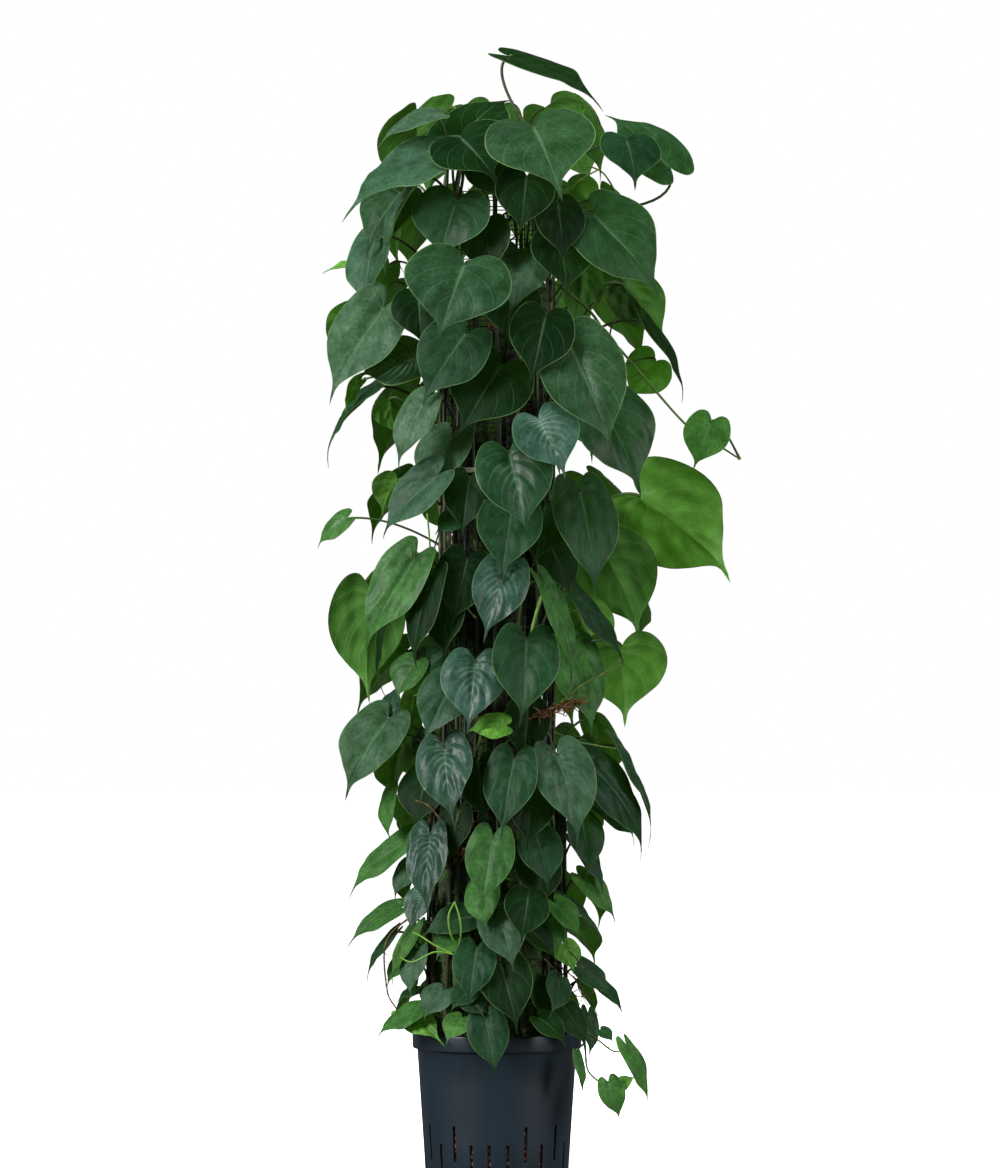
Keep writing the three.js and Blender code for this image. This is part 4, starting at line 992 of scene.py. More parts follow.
def tube_master(name, sides, rings):
    """A closed round tube of radius one from z 0 to 1, with that many rings."""
    bpy.ops.object.select_all(action="DESELECT")
    bpy.ops.mesh.primitive_circle_add(vertices=sides, radius=1, fill_type="NGON")
    piece = started(name)
    bpy.ops.object.mode_set(mode="EDIT")
    bpy.ops.mesh.select_all(action="SELECT")
    bpy.ops.mesh.extrude_region_move(TRANSFORM_OT_translate={"value": (0, 0, 1)})
    bpy.ops.object.mode_set(mode="OBJECT")
    cut_long_edges(piece, rings - 2)
    clean(piece)
    bpy.ops.object.shade_smooth_by_angle(angle=math.radians(60))
    form = corners(piece.data)
    print(f"{name}: {len(form)} points")
    levels = np.rint(form[:, 2] * (rings - 1)).astype(int)
    return SimpleNamespace(piece=piece, form=form, levels=levels, rings=rings)


stalk_tube = tube_master("stalk_tube", 9, 14)
stem_tube = tube_master("stem_tube", 10, 110)
branch_tube = tube_master("branch_tube", 8, 40)
root_tube = tube_master("root_tube", 5, 7)


# %% A copy laid along a path
def path_frames(path):
    """Two cross directions at each point of a path, carried along without twist."""
    tangents = np.gradient(path, axis=0)
    tangents /= np.linalg.norm(tangents, axis=1)[:, None]
    first = spot(1, 0, 0) if abs(tangents[0][2]) > 0.7 else spot(0, 0, 1)
    across = []
    for tangent in tangents:
        first = unit(first - tangent * first.dot(tangent))
        across.append(first)
    across = np.array(across)
    return across, np.cross(tangents, across)


def along_path(master, path, radii, name="copy", **marks_by_ring):
    """A copy of the tube laid along a path in millimetres, with a radius for each ring."""
    path = np.asarray(path, dtype=float)
    across, aside = path_frames(path)
    level = master.levels
    x, y = master.form[:, 0:1], master.form[:, 1:2]
    radius = np.asarray(radii, dtype=float)[level][:, None]
    points = path[level] + (across[level] * x + aside[level] * y) * radius
    piece = copy_of(master.piece, inside_box(points * MM), name)
    for mark, values in marks_by_ring.items():
        set_attribute(piece.data, mark, "FLOAT", np.asarray(values, dtype=float)[level])
    return piece


def quadratic(arc, count):
    """Points along a quadratic curve through root, crest and end."""
    t = np.linspace(0, 1, count)[:, None]
    root, crest, end = arc
    return root * (1 - t) ** 2 + crest * 2 * t * (1 - t) + end * t ** 2


def rounded(points, count):
    """Evenly spaced points on a smooth curve through the given ones."""
    line, share = smooth_line(points, 8)
    steps = np.linspace(0, 1, count)
    return np.stack([np.interp(steps, share, line[:, i]) for i in range(3)], axis=1)


print(f"the dangling root is {np.ptp(rounded(DANGLING_ROOT, 60)[:, 2]):.0f} mm high")

# %% [markdown]
# A leaf stalk clasps its stem with a wider foot, and swells a little below the blade, where it
# can turn the leaf to the light. A climbing stem has a swollen joint wherever a leaf starts. On
# one tube all of this is a radius for each ring. Each ring also carries how green it is and how
# near a joint, for the finish to read.

# %% Leaf stalks and climbing stems
def stalk_piece(leaf):
    """A leaf stalk with a sheathing foot and a small swelling below the blade."""
    path = quadratic(leaf.arc, stalk_tube.rings)
    s = np.linspace(0, 1, stalk_tube.rings)
    radius = (1.1 + 0.0058 * leaf.length) * (1 + 0.5 * np.exp(-s / 0.05)
                                             + 0.25 * np.exp(-(((1 - s) / 0.06) ** 2)))
    radius[-1] *= 0.6
    fresh = 0.5 if leaf.age in (FRESH, LIME_AND_PAINTED_GLOW) else 0.2 + 0.25 * leaf.draw()
    return along_path(stalk_tube, path, radius, node=np.exp(-s / 0.04), green=fresh + 0.35 * s)


def stem_piece(stem, joints):
    """A climbing stem with a pale ring at every joint."""
    nodes = sorted(joints)
    heights = list(np.linspace(STEM_FOOT, stem.top, 24))
    for z in nodes:
        heights += [z - 7, z - 3, z, z + 2.5, z + 6]
    heights = sorted(z for z in set(heights) if STEM_FOOT <= z <= stem.top)[:stem_tube.rings]
    while len(heights) < stem_tube.rings:
        gaps = np.diff(heights)
        widest = int(np.argmax(gaps))
        heights.insert(widest + 1, heights[widest] + gaps[widest] / 2)
    heights = np.array(heights)
    swell = np.zeros(len(heights))
    for z in nodes:
        swell = np.maximum(swell, np.exp(-(((heights - z) / 3.5) ** 2)))
    radius = STEM_RADIUS * (1 - 0.25 * heights / 1400) * (0.86 + 0.2 * swell)
    radius[-1] *= 0.55
    path = [stem_point(stem, z) for z in heights]
    young = 0.12 + 0.35 * np.clip((heights - 250) / 900, 0, 1)
    return along_path(stem_tube, path, radius, node=swell, green=young)


bare = {name: [] for name in VINES}
joints = {name: [] for name in VINES}
for leaf in leaves:
    if leaf.arc is None:
        continue
    bare[leaf.owner].append(stalk_piece(leaf))
    joints[leaf.owner].append(float(leaf.arc[0][2]))
for name, stem in STEMS.items():
    bare[name].append(stem_piece(stem, joints[name]))
print(f"{sum(len(group) for group in bare.values())} stalks and stems")

# %% [markdown]
# Between the leaves the plant shows shoots and stalks whose leaves are hidden or gone. They
# are what makes the gaps look grown and not empty, so each one that can be told apart is a
# branch of its own, drawn through three or four points.

# %% Bare shoots and stalks
def branch_piece(points, radius, green, end_share=0.6):
    """A bare branch through these points that swells where each one lies."""
    path = rounded(points, branch_tube.rings)
    s = np.linspace(0, 1, branch_tube.rings)
    knots = 0.5 + 0.5 * np.cos(2 * math.pi * s * (len(points) - 1))
    swell = np.clip(knots, 0, 1) ** 12
    radii = radius * (1 - (1 - end_share) * s) * (0.92 + 0.22 * swell)
    radii[-1] *= 0.6
    return along_path(branch_tube, path, radii, node=swell, green=np.full(len(s), green))


# The free shoot's bud ends a little short of the solid's
bare["vine_12"].append(branch_piece([*FREE_SHOOT[:-1], (314, -40, 932.5)], 2.2, 0.8))
bare["vine_06"].append(branch_piece(DANGLING_ROOT, 1.5, 0.05))
bare["vine_trailing"].append(branch_piece(TRAILING_STEM, 2.0, 0.75))
bare["vine_trailing"].append(branch_piece(TRAILING_SIDE, 1.6, 0.85))
# Young yellow-green stalks that loop in front of the foot
LOOPS = [[(-54, -122, 364), (-62, -126, 346), (-59, -124, 322), (-50, -112, 306)],
         [(-54, -122, 364), (-48, -126, 345), (-46, -124, 325), (-50, -112, 302)],
         [(-56, -122, 297), (-80, -126, 300), (-108, -120, 287), (-124, -112, 293)],
         [(-56, -122, 297), (-80, -122, 309), (-98, -112, 320), (-108, -104, 324)]]
for points in LOOPS:
    bare["vine_07"].append(branch_piece(points, 1.25, 1.0, 0.8))
# Stalks of hidden leaves that cross the gaps: stem, radius, how green, and x, y, z
STALKS = [
    ("vine_07", 1.7, 0.94, [(-104, -66, 812), (-70, -92, 775), (-27, -98, 727)]),
    ("vine_07", 1.1, 0.6, [(-76, -74, 778), (-50, -90, 777), (-24, -96, 775)]),
    ("vine_07", 1.3, 0.95, [(-90, -60, 862), (-86, -66, 815), (-86, -66, 750)]),
    ("vine_07", 1.3, 0.7, [(-70, -78, 912), (-64, -80, 880), (-88, -66, 792)]),
    ("vine_11", 2.5, 0.97, [(64, -72, 772), (54, -82, 745), (46, -86, 715), (42, -88, 690)]),
    ("vine_11", 1.6, 0.8, [(40, -86, 855), (56, -82, 866), (70, -74, 876)]),
    ("vine_11", 1.9, 0.85, [(82, -80, 618), (108, -76, 640), (136, -66, 655), (160, -56, 674)]),
    ("vine_11", 1.5, 0.9, [(74, -76, 580), (104, -72, 568), (132, -60, 562), (154, -48, 558)]),
    ("vine_08", 1.3, 0.95, [(-18, -96, 590), (-22, -98, 574), (-28, -98, 556)]),
    ("vine_11", 1.3, 0.85, [(64, -80, 588), (70, -82, 568), (77, -80, 548)]),
    ("vine_06", 1.2, 0.04, [(-104, -70, 492), (-88, -84, 486), (-76, -90, 472), (-72, -92, 455)]),
    ("vine_08", 1.4, 0.85, [(-48, -84, 1262), (-30, -90, 1242), (-10, -92, 1233), (4, -92, 1226)]),
    ("vine_12", 1.2, 0.9, [(118, -34, 1312), (140, -36, 1300), (162, -32, 1258), (168, -28, 1218)]),
    ("vine_12", 1.4, 0.3, [(112, -30, 1118), (124, -34, 1134), (144, -34, 1156)]),
    ("vine_12", 1.3, 0.3, [(146, -32, 1090), (150, -36, 1108), (168, -34, 1130)]),
    ("vine_11", 1.4, 0.9, [(86, -60, 1272), (108, -66, 1292), (132, -60, 1306)]),
    ("vine_07", 3.2, 0.2, [(-59, -58, 884), (-62, -58, 830), (-58, -58, 776)]),
    ("vine_08", 2.4, 0.15, [(4, -76, 1212), (14, -78, 1236), (32, -76, 1266)]),
    ("vine_11", 2.4, 0.15, [(50, -68, 1180), (60, -68, 1206), (74, -62, 1238)]),
    ("vine_08", 1.8, 0.3, [(-6, -72, 1176), (0, -74, 1230), (-8, -68, 1292)]),
    ("vine_08", 1.6, 0.5, [(20, -72, 1170), (25, -74, 1215), (16, -68, 1272)]),
    ("vine_11", 1.8, 0.35, [(33, -70, 1168), (39, -72, 1215), (46, -66, 1278)]),
    ("vine_08", 1.5, 0.7, [(-22, -72, 1186), (8, -78, 1206), (40, -72, 1232)]),
]
for name, radius, green, points in STALKS:
    bare[name].append(branch_piece(points, radius, green, 0.8))
# Thin bare twigs that tangle over the rim on the right
TWIGS = [[(74, -72, 283), (99, -76, 264), (121, -66, 233), (133, -60, 208)],
         [(80, -74, 264), (93, -80, 245), (111, -70, 251), (105, -78, 226)],
         [(61, -84, 289), (89, -78, 258), (93, -82, 239), (111, -74, 211)],
         [(66, -80, 250), (84, -86, 262), (104, -76, 240), (126, -66, 246)],
         [(92, -70, 300), (110, -72, 276), (104, -70, 254), (118, -64, 226)]]
for points in TWIGS:
    bare["vine_11"].append(branch_piece(points, 0.95, 0.1, 0.5))
print(f"{sum(len(group) for group in bare.values())} stalks, stems and branches")

# %% [markdown]
# At each joint the real stem puts out brown aerial roots that feel their way into the moss.
# A few are long and tangle outside the mesh. They are seeded, so each run grows the same.

# %% Aerial roots
ROOT_HEIGHTS = [300, 380, 640, 720]
ROOTS_END = 1110


def root_piece(start, direction, length, radius, draw, green=0.06):
    """A root that starts in this direction and wanders."""
    points = [np.array(start, dtype=float)]
    heading = unit(np.array(direction, dtype=float))
    for _ in range(4):
        sway = spot(draw() - 0.5, draw() - 0.5, draw() - 0.6)
        heading = unit(heading + 0.9 * sway)
        points.append(points[-1] + heading * length / 4)
    radii = radius * np.linspace(1, 0.35, root_tube.rings)
    return along_path(root_tube, rounded(points, root_tube.rings), radii,
                      node=np.zeros(root_tube.rings), green=np.full(root_tube.rings, green))


for name, stem in STEMS.items():
    draw = random_from(7000 + int(stem.azimuth) + 360)
    for z in joints[name] + ROOT_HEIGHTS:
        if z > ROOTS_END:
            continue
        start = stem_point(stem, z)
        inwards = unit(spot(-start[0], -start[1], 0))
        for _ in range(2):
            heading = inwards + spot(draw() - 0.5, draw() - 0.5, draw() - 0.5) * 1.3
            bare[name].append(root_piece(start, heading, 10 + 9 * draw(), 0.8, draw))
print(f"{sum(len(group) for group in bare.values())} bare pieces with their short roots")

# %% Rootlets outside the mesh
# Bundles of red-brown rootlets that hang outside the mesh: from, to, number, length
BUNDLES = [((50, -92, 600), (108, -76, 622), 80, 17), ((-48, -92, 464), (-42, -92, 420), 26, 18),
           ((-27, -92, 470), (-22, -92, 412), 22, 20), ((-6, -82, 1236), (8, -84, 1222), 12, 14),
           ((-10, -78, 1115), (-4, -80, 1090), 10, 14), ((36, -84, 690), (44, -86, 640), 10, 22)]
for start, end, count, length in BUNDLES:
    draw = random_from(7700 + start[2])
    start, end = spot(*start), spot(*end)
    azimuth = math.degrees(math.atan2(start[0], -start[1]))
    name = min(STEMS, key=lambda n: abs(STEMS[n].azimuth - azimuth) + 999 * (STEMS[n].top < start[2]))
    for _ in range(count):
        foot = start + (end - start) * draw() + spot(draw() - 0.5, draw() - 0.5, draw() - 0.5) * 6
        heading = unit(end - start) * (draw() - 0.5) * 2.4
        heading += spot(draw() - 0.5, draw() - 0.5, draw() - 0.6)
        bare[name].append(root_piece(foot, heading, length * (0.6 + 0.7 * draw()), 1.3, draw,
                                     0.06 * draw() ** 2))

# Fine hairs on the dangling root
draw = random_from(7900)
hair_path = rounded(DANGLING_ROOT, 60)
for point in hair_path[18:]:
    heading = spot(draw() - 0.5, draw() - 0.5, draw() - 0.7)
    bare["vine_06"].append(root_piece(point, heading, 5 + 7 * draw(), 0.3, draw))
print(f"{len(bare['vine_06'])} bare pieces on the stem with the dangling root")

# %% [markdown]
# Young stalk is smooth and green, and with age it turns dark, then brown and corky. The skin
# is a ramp on how green each ring is, flecked at about four millimetres as the bark is, with a
# pale ring at the joints. Its dark tones and flecks are made darker still, partly painted shade
# for stems that stand in the shadow inside the plant. It is less waxy than a leaf, so its
# highlight is broader.

# %% Stem finish
stem_look, tree, output = new_material("philodendron_stem")
place = add(tree, "TexCoord").outputs["Object"]
green = add(tree, "Attribute", attribute_name="green").outputs["Fac"]
ring = add(tree, "Attribute", attribute_name="node").outputs["Fac"]
# The dark stops of this ramp are partly painted shade
body = add(tree, "ValToRGB", {"Fac": green}, [(0.0, "8c6136"), (0.06, "38251a"), (0.15, "242c18"),
                                              (0.5, "2f4820"), (0.9, "527e2d"), (1.0, "76b23c")])
bark = add(tree, "TexNoise", {"Vector": place, "Scale": 1 / (3.85 * MM), "Detail": 4.0,
                              "Roughness": 0.65})
half_bark = add(tree, "Math", {0: bark, 1: 0.5}, operation="MULTIPLY")
# Dark bark flecks, partly painted shade
bark_and_painted_shade = add(tree, "Mix", {SHARE: half_bark, FIRST: body, SECOND: colour("33291a")},
           data_type="RGBA")
pale_ring = add(tree, "Math", {0: ring, 1: 0.4}, operation="MULTIPLY")
ringed = add(tree, "Mix", {SHARE: pale_ring, FIRST: bark_and_painted_shade, SECOND: colour("8f8350")},
             data_type="RGBA")
bump = add(tree, "Bump", {"Strength": 0.4, "Distance": 0.8 * MM, "Height": bark})
skin = add(tree, "BsdfPrincipled", {"Base Color": ringed, "Roughness": 0.48, "IOR": 1.42,
                                    "Normal": bump})
tree.links.new(skin.outputs[0], output.inputs["Surface"])
for name in VINES:
    dress(joined(bare[name], f"{name}_stems"), stem_look, "living_plant", name)

# %% [markdown]
# The column is a roll of plastic-coated wire mesh, filled with moss. Moss is a mass of dark
# brown shreds with live green tufts. A rough tube alone would look like bark, so the tube is
# only the ground that the shreds stand on: it is domed at the top and lumpy all over.

# %% Moss in the column
MESH_RADIUS = 65
MOSS_TOP = 1108
SOCKET_FLOOR = 20
CORE_RADIUS = 58.2
CORE_RINGS = 300


def lump(point, scale):
    """A smooth noise between -1 and 1 at this place, with that many lumps to the metre."""
    return min(max(noise.fractal(Vector(point) * scale, 0.9, 2.1, 4), -1), 1)


core_low, core_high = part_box("moss_core")
core_z = np.linspace(core_low.z / MM, core_high.z / MM - 2, CORE_RINGS)
dome = np.sqrt(np.clip((core_high.z / MM - core_z) / 22, 0.02, 1))
core_tube = tube_master("moss_tube", 120, CORE_RINGS)
moss_core = along_path(core_tube, [spot(0, 0, z) for z in core_z], CORE_RADIUS * dome,
                       "moss_column")
bpy.data.objects.remove(core_tube.piece)
points = corners(moss_core.data)
for point in points:
    away = math.hypot(point[0], point[1])
    if away > 0.1 * MM:
        point[:2] *= 1 + 2.0 * MM * lump(point, 130) / away
move_corners(moss_core.data, points)
only(moss_core)
bpy.ops.object.shade_smooth_by_angle(angle=math.radians(70))
print(f"moss from z {core_z[0]:.0f} to {core_z[-1]:.0f}")

# %% [markdown]
# Round the foot, loose moss is packed outside the mesh. It starts as an open cylinder, whose
# long edges are cut across so that there is something to shape. It narrows towards the top,
# its surface is lumpy, and Solidify gives it a wall.

# %% Loose moss round the foot
SLEEVE_RADIUS = 83
SLEEVE_TAPER = 9
sleeve_low, sleeve_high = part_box("moss_sleeve")
sleeve_height = sleeve_high.z - sleeve_low.z
bpy.ops.object.select_all(action="DESELECT")
bpy.ops.mesh.primitive_cylinder_add(vertices=160, radius=79 * MM, depth=1, end_fill_type="NOTHING")
moss_sleeve = started("moss_round_foot")
cut_long_edges(moss_sleeve, 70)
points = corners(moss_sleeve.data)
points[:, 2] = sleeve_low.z + (points[:, 2] + 0.5) * sleeve_height
for point in points:
    share = (point[2] - sleeve_low.z) / sleeve_height
    radius = SLEEVE_RADIUS - SLEEVE_TAPER * max(0, (share - 0.85) / 0.15) ** 2
    radius += 2.4 * lump(point, 110)
    point[:2] *= radius * MM / math.hypot(point[0], point[1])
move_corners(moss_sleeve.data, points)
only(moss_sleeve)
apply_modifier(moss_sleeve, "SOLIDIFY", thickness=4 * MM, offset=-1)
clean(moss_sleeve)
bpy.ops.object.shade_smooth_by_angle(angle=math.radians(70))
print(f"moss round the foot up to z {sleeve_high.z / MM:.0f}")

# %% [markdown]
# Shreds make it moss. Hair would be the usual way, but it can't be exported, so one tuft of
# bent three-sided shreds is made and copied. Each copy is turned outwards on the next place of
# a spiral that covers the column evenly, as seeds cover a flower head.

# %% Tufts of moss
TUFT_SHREDS = 15
TUFTS = 360
GOLDEN_ANGLE = 137.508
CORE_REACH = 58.0
TUFTS_FOOT = 186
FLATTEST = 5.5
SLEEVE_REACH = 82.0
shred_tube = tube_master("shred_tube", 3, 4)
draw = random_from(8100)
shreds = []
for _ in range(TUFT_SHREDS):
    turn, lean, length = 2 * math.pi * draw(), 0.5 + 0.9 * draw(), 8 + 7 * draw()
    foot = spot(9 * (draw() - 0.5), 9 * (draw() - 0.5), -2)
    heading = spot(math.sin(lean) * math.cos(turn), math.sin(lean) * math.sin(turn), math.cos(lean))
    sag = spot(draw() - 0.5, draw() - 0.5, -0.5 * draw()) * length * 0.5
    path = [foot + heading * length * t + sag * t * t for t in (0, 0.33, 0.66, 1)]
    shreds.append(along_path(shred_tube, path, [0.75, 0.65, 0.5, 0.15]))
tuft = joined(shreds, "tuft")
tuft_form = corners(tuft.data) / MM
tufts = []
for i in range(TUFTS):
    azimuth = GOLDEN_ANGLE * i
    z = TUFTS_FOOT + (MOSS_TOP - TUFTS_FOOT - 10) * (i + 0.5) / TUFTS
    low = z < sleeve_high.z / MM
    out = around(azimuth, 1, 0)
    aside = np.cross(spot(0, 0, 1), out)
    # On the loose moss round the foot a tuft lies a little flatter than behind the mesh
    deep = 0.36 if low else 0.45
    foot = around(azimuth, SLEEVE_REACH if low else CORE_REACH, z)
    roll = 2 * math.pi * draw()
    x, y, height = tuft_form.T
    across = x * math.cos(roll) - y * math.sin(roll)
    upwards = x * math.sin(roll) + y * math.cos(roll)
    size = 0.8 + 0.5 * draw()
    points = (foot + np.multiply.outer(across * size, aside)
              + np.multiply.outer(upwards * size, spot(0, 0, 1))
              + np.multiply.outer(np.minimum(height * deep, FLATTEST), out))
    tufts.append(copy_of(tuft, points * MM))
bpy.data.objects.remove(shred_tube.piece)
bpy.data.objects.remove(tuft)
print(f"{len(tufts)} tufts of {TUFT_SHREDS} shreds")

# %% Loose strands round the foot
# They close the gap between the moss and the stems
STRANDS = 220
strand_tube = tube_master("strand_tube", 4, 7)
for i in range(STRANDS):
    azimuth, z, radius = GOLDEN_ANGLE * i, 188 + 262 * draw(), 84 + 5 * draw()
    sweep_round, climb = 16 + 12 * draw(), 40 * (draw() - 0.5)
    path = [around(azimuth + sweep_round * t, radius + 2 * math.sin(9 * t + i), z + climb * t)
            for t in np.linspace(0, 1, strand_tube.rings)]
    tufts.append(along_path(strand_tube, path, [0.5, 1.2, 1.5, 1.2, 1.4, 1.0, 0.4]))
bpy.data.objects.remove(strand_tube.piece)
moss_shreds = joined(tufts, "moss_shreds")
bpy.ops.object.shade_smooth_by_angle(angle=math.radians(80))
print(f"{STRANDS} loose strands")

# %% [markdown]
# Moss is matt all over and scatters light between its leaves, so it has no highlight at all.
# Two ramps on the same fibres, about three millimetres apart, give dead brown and live green.
# The brown is near-black, partly painted shade for the column's inside between the leaves.
# Patches of a few centimetres choose between them, with more green low down.

# %% Moss finish
moss_look, tree, output = new_material("sphagnum_moss")
place = add(tree, "TexCoord").outputs["Object"]
height = add(tree, "SeparateXYZ", {"Vector": place}).outputs["Z"]
fibres = add(tree, "TexNoise", {"Vector": place, "Scale": 1 / (3.125 * MM), "Detail": 5.0,
                                "Roughness": 0.7})
patches = add(tree, "TexNoise", {"Vector": place, "Scale": 1 / (35.7 * MM), "Detail": 3.0})
# Near-black brown: the moss's own colour, partly darkened with painted shade
brown = add(tree, "ValToRGB", {"Fac": fibres}, [(0.3, "0a0a06"), (0.5, "18160c"),
                                                (0.75, "3a301a")])
live = add(tree, "ValToRGB", {"Fac": fibres}, [(0.3, "101a0a"), (0.55, "32501a"),
                                               (0.75, "6a8a2e")])
low_down = add(tree, "MapRange", {"Value": height, "From Min": 0.2, "From Max": 0.75,
                                  "To Min": 0.14, "To Max": -0.03})
greener = add(tree, "Math", {0: patches, 1: low_down}, operation="ADD")
where = add(tree, "ValToRGB", {"Fac": greener}, [(0.48, "000000"), (0.58, "ffffff")])
both = add(tree, "Mix", {SHARE: where, FIRST: brown, SECOND: live}, data_type="RGBA")
bump = add(tree, "Bump", {"Strength": 0.9, "Distance": 2 * MM, "Height": fibres})
soft = add(tree, "BsdfPrincipled", {"Base Color": both, "Roughness": 0.95, "Normal": bump})
tree.links.new(soft.outputs[0], output.inputs["Surface"])
dress(moss_core, moss_look, "moss", "moss_core")
dress(moss_sleeve, moss_look, "moss", "moss_sleeve")
dress(moss_shreds, moss_look, "moss")

# %% [markdown]
# The mesh itself is thin welded wire: uprights all round, and a hoop every twelve and a half
# millimetres. One hoop and one upright are made, and the rest are copies. Above the moss the
# roll is empty, and daylight shows through it.

# %% Wire mesh
WIRE_RADIUS = 0.75
UPRIGHTS = 32
HOOP_STEP = 12.5
LOWEST_HOOP = 170
mesh_low, mesh_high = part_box("wire_mesh")
bpy.ops.object.select_all(action="DESELECT")
bpy.ops.mesh.primitive_torus_add(
    major_radius=MESH_RADIUS * MM, minor_radius=WIRE_RADIUS * MM,
    major_segments=64, minor_segments=5,
)
hoop = started("hoop")
wires = []
hoop_form = corners(hoop.data)
hoop_heights = np.arange(mesh_high.z / MM - 4, LOWEST_HOOP, -HOOP_STEP)
for z in hoop_heights:
    wires.append(copy_of(hoop, hoop_form + [0, 0, z * MM]))
bpy.data.objects.remove(hoop)
bpy.ops.object.select_all(action="DESELECT")
bpy.ops.mesh.primitive_cylinder_add(vertices=6, radius=WIRE_RADIUS * MM,
                                    depth=mesh_high.z - mesh_low.z)
upright = started("upright")
upright_form = corners(upright.data)
middle = (mesh_high.z + mesh_low.z) / 2
for i in range(UPRIGHTS):
    foot = around(360 * i / UPRIGHTS, MESH_RADIUS * MM, middle)
    wires.append(copy_of(upright, upright_form + foot))
bpy.data.objects.remove(upright)
cage = joined(wires, "coated_wire_mesh")
bpy.ops.object.shade_smooth_by_angle(angle=math.radians(80))
print(f"{len(hoop_heights)} hoops and {UPRIGHTS} uprights")

# %% [markdown]
# The wire is dipped in soft PVC, which leaves a thick dark skin with a low broad sheen. Dust
# and lime from watering dull it in patches of about a centimetre.

# %% Coated wire finish
coat_look, tree, output = new_material("pvc_coated_wire")
place = add(tree, "TexCoord").outputs["Object"]
dust = add(tree, "TexNoise", {"Vector": place, "Scale": 1 / (11.1 * MM), "Detail": 4.0})
shade = add(tree, "ValToRGB", {"Fac": dust}, [(0.35, "0b0d0e"), (0.7, "1a1e1f")])
bump = add(tree, "Bump", {"Strength": 0.2, "Distance": 0.3 * MM, "Height": dust})
coat = add(tree, "BsdfPrincipled", {"Base Color": shade, "Roughness": 0.46, "IOR": 1.5,
                                    "Normal": bump})
tree.links.new(coat.outputs[0], output.inputs["Surface"])
dress(cage, coat_look, "coated_wire", "wire_mesh")

# %% [markdown]
# Two plastic-coated rods stand among the stems and carry the column. Their ribs, which keep a
# tie from slipping, are a small wave of the radius, and their ends are rounded off.

# %% Support rods
rod_tube = tube_master("rod_tube", 14, 40)
for side, azimuth in (("left", -33.75), ("right", 56.25)):
    node = f"support_rod_{side}"
    low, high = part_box(node)
    heights = np.linspace(low.z / MM, high.z / MM, rod_tube.rings)
    path = [around(azimuth, curve_at(STEM_REACH, z), z) for z in heights]
    radii = 2.5 + 0.12 * np.sin(heights / 3.0)
    radii[0] = 2.0
    radii[-1] = 1.6
    rod = along_path(rod_tube, path, radii, f"plastic_rod_{side}")
    dress(rod, coat_look, "coated_wire", node)
bpy.data.objects.remove(rod_tube.piece)

# %% [markdown]
# A pale strap ties the stems to the column. It is flat and stiff, so it stands out straight
# between the stems it passes. A band with a wall goes round the column, and a ribbon, laid
# through a few points, is the loose turn round two stems.

# %% Tie strap
STRAP_WALL = 0.8
STRAP_HALF_WIDTH = 3
STRAP_STEPS = 48
# The loose turn: azimuth and radius along it, and its height
LOOSE_TURN = [(-88, 67), (-76, 76), (-62, 86), (-46, 90), (-32, 90), (-18, 84), (-6, 67)]
LOOSE_HEIGHT = 918
band_low, band_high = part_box("tie_band")
bpy.ops.object.select_all(action="DESELECT")
bpy.ops.mesh.primitive_cylinder_add(
    vertices=96, radius=band_high.x - 1 * MM, depth=band_high.z - band_low.z,
    end_fill_type="NOTHING", location=(0, 0, (band_low.z + band_high.z) / 2),
)
band = started("tie_strap")
bpy.ops.object.transform_apply(location=True)
apply_modifier(band, "SOLIDIFY", thickness=STRAP_WALL * MM, offset=-1)
clean(band)
bpy.ops.object.select_all(action="DESELECT")
bpy.ops.mesh.primitive_grid_add(x_subdivisions=STRAP_STEPS, y_subdivisions=2, size=2)
turn = started("loose_turn")
points = corners(turn.data)
turn_path = rounded([around(azimuth, radius, LOOSE_HEIGHT) for azimuth, radius in LOOSE_TURN],
                    STRAP_STEPS + 1)
along = np.rint((points[:, 0] + 1) * STRAP_STEPS / 2).astype(int)
rise = np.outer(points[:, 1], [0, 0, STRAP_HALF_WIDTH])
move_corners(turn.data, (turn_path[along] + rise) * MM)
only(turn)
apply_modifier(turn, "SOLIDIFY", thickness=STRAP_WALL * MM)
clean(turn)
band = joined([band, turn], "tie_strap")
apply_modifier(band, "BEVEL", width=0.25 * MM, segments=2)
bpy.ops.object.shade_smooth_by_angle(angle=math.radians(40))
print(f"tie strap round the column at z {(band_low.z + band_high.z) / 2 / MM:.0f}")

# %% [markdown]
# The strap is polyethylene film, drawn out lengthways when it was made. That leaves fine
# streaks along it, about a millimetre apart and a few centimetres long, and a dull surface.

# %% Strap finish
band_look, tree, output = new_material("polyethylene_band")
place = add(tree, "TexCoord").outputs["Object"]
drawn = add(tree, "Mapping", {"Vector": place, "Scale": (30.0, 30.0, 900.0)})
streak = add(tree, "TexNoise", {"Vector": drawn, "Scale": 1.0, "Detail": 4.0})
shade = add(tree, "ValToRGB", {"Fac": streak}, [(0.3, "b3ab8c"), (0.7, "ebe5cd")])
bump = add(tree, "Bump", {"Strength": 0.4, "Distance": 0.4 * MM, "Height": streak})
strap = add(tree, "BsdfPrincipled", {"Base Color": shade, "Roughness": 0.7, "Normal": bump})
tree.links.new(strap.outputs[0], output.inputs["Surface"])
dress(band, band_look, "band_plastic", "tie_band")

# %% [markdown]
# The pot is thin moulded plastic. Half of its section is drawn as a line and spun about the
# axis, with the rolled lip and the small step under the rim band. The drainage slots are cut
# by one joined set of cutters, which leaves their edges as crisp as the mould did.

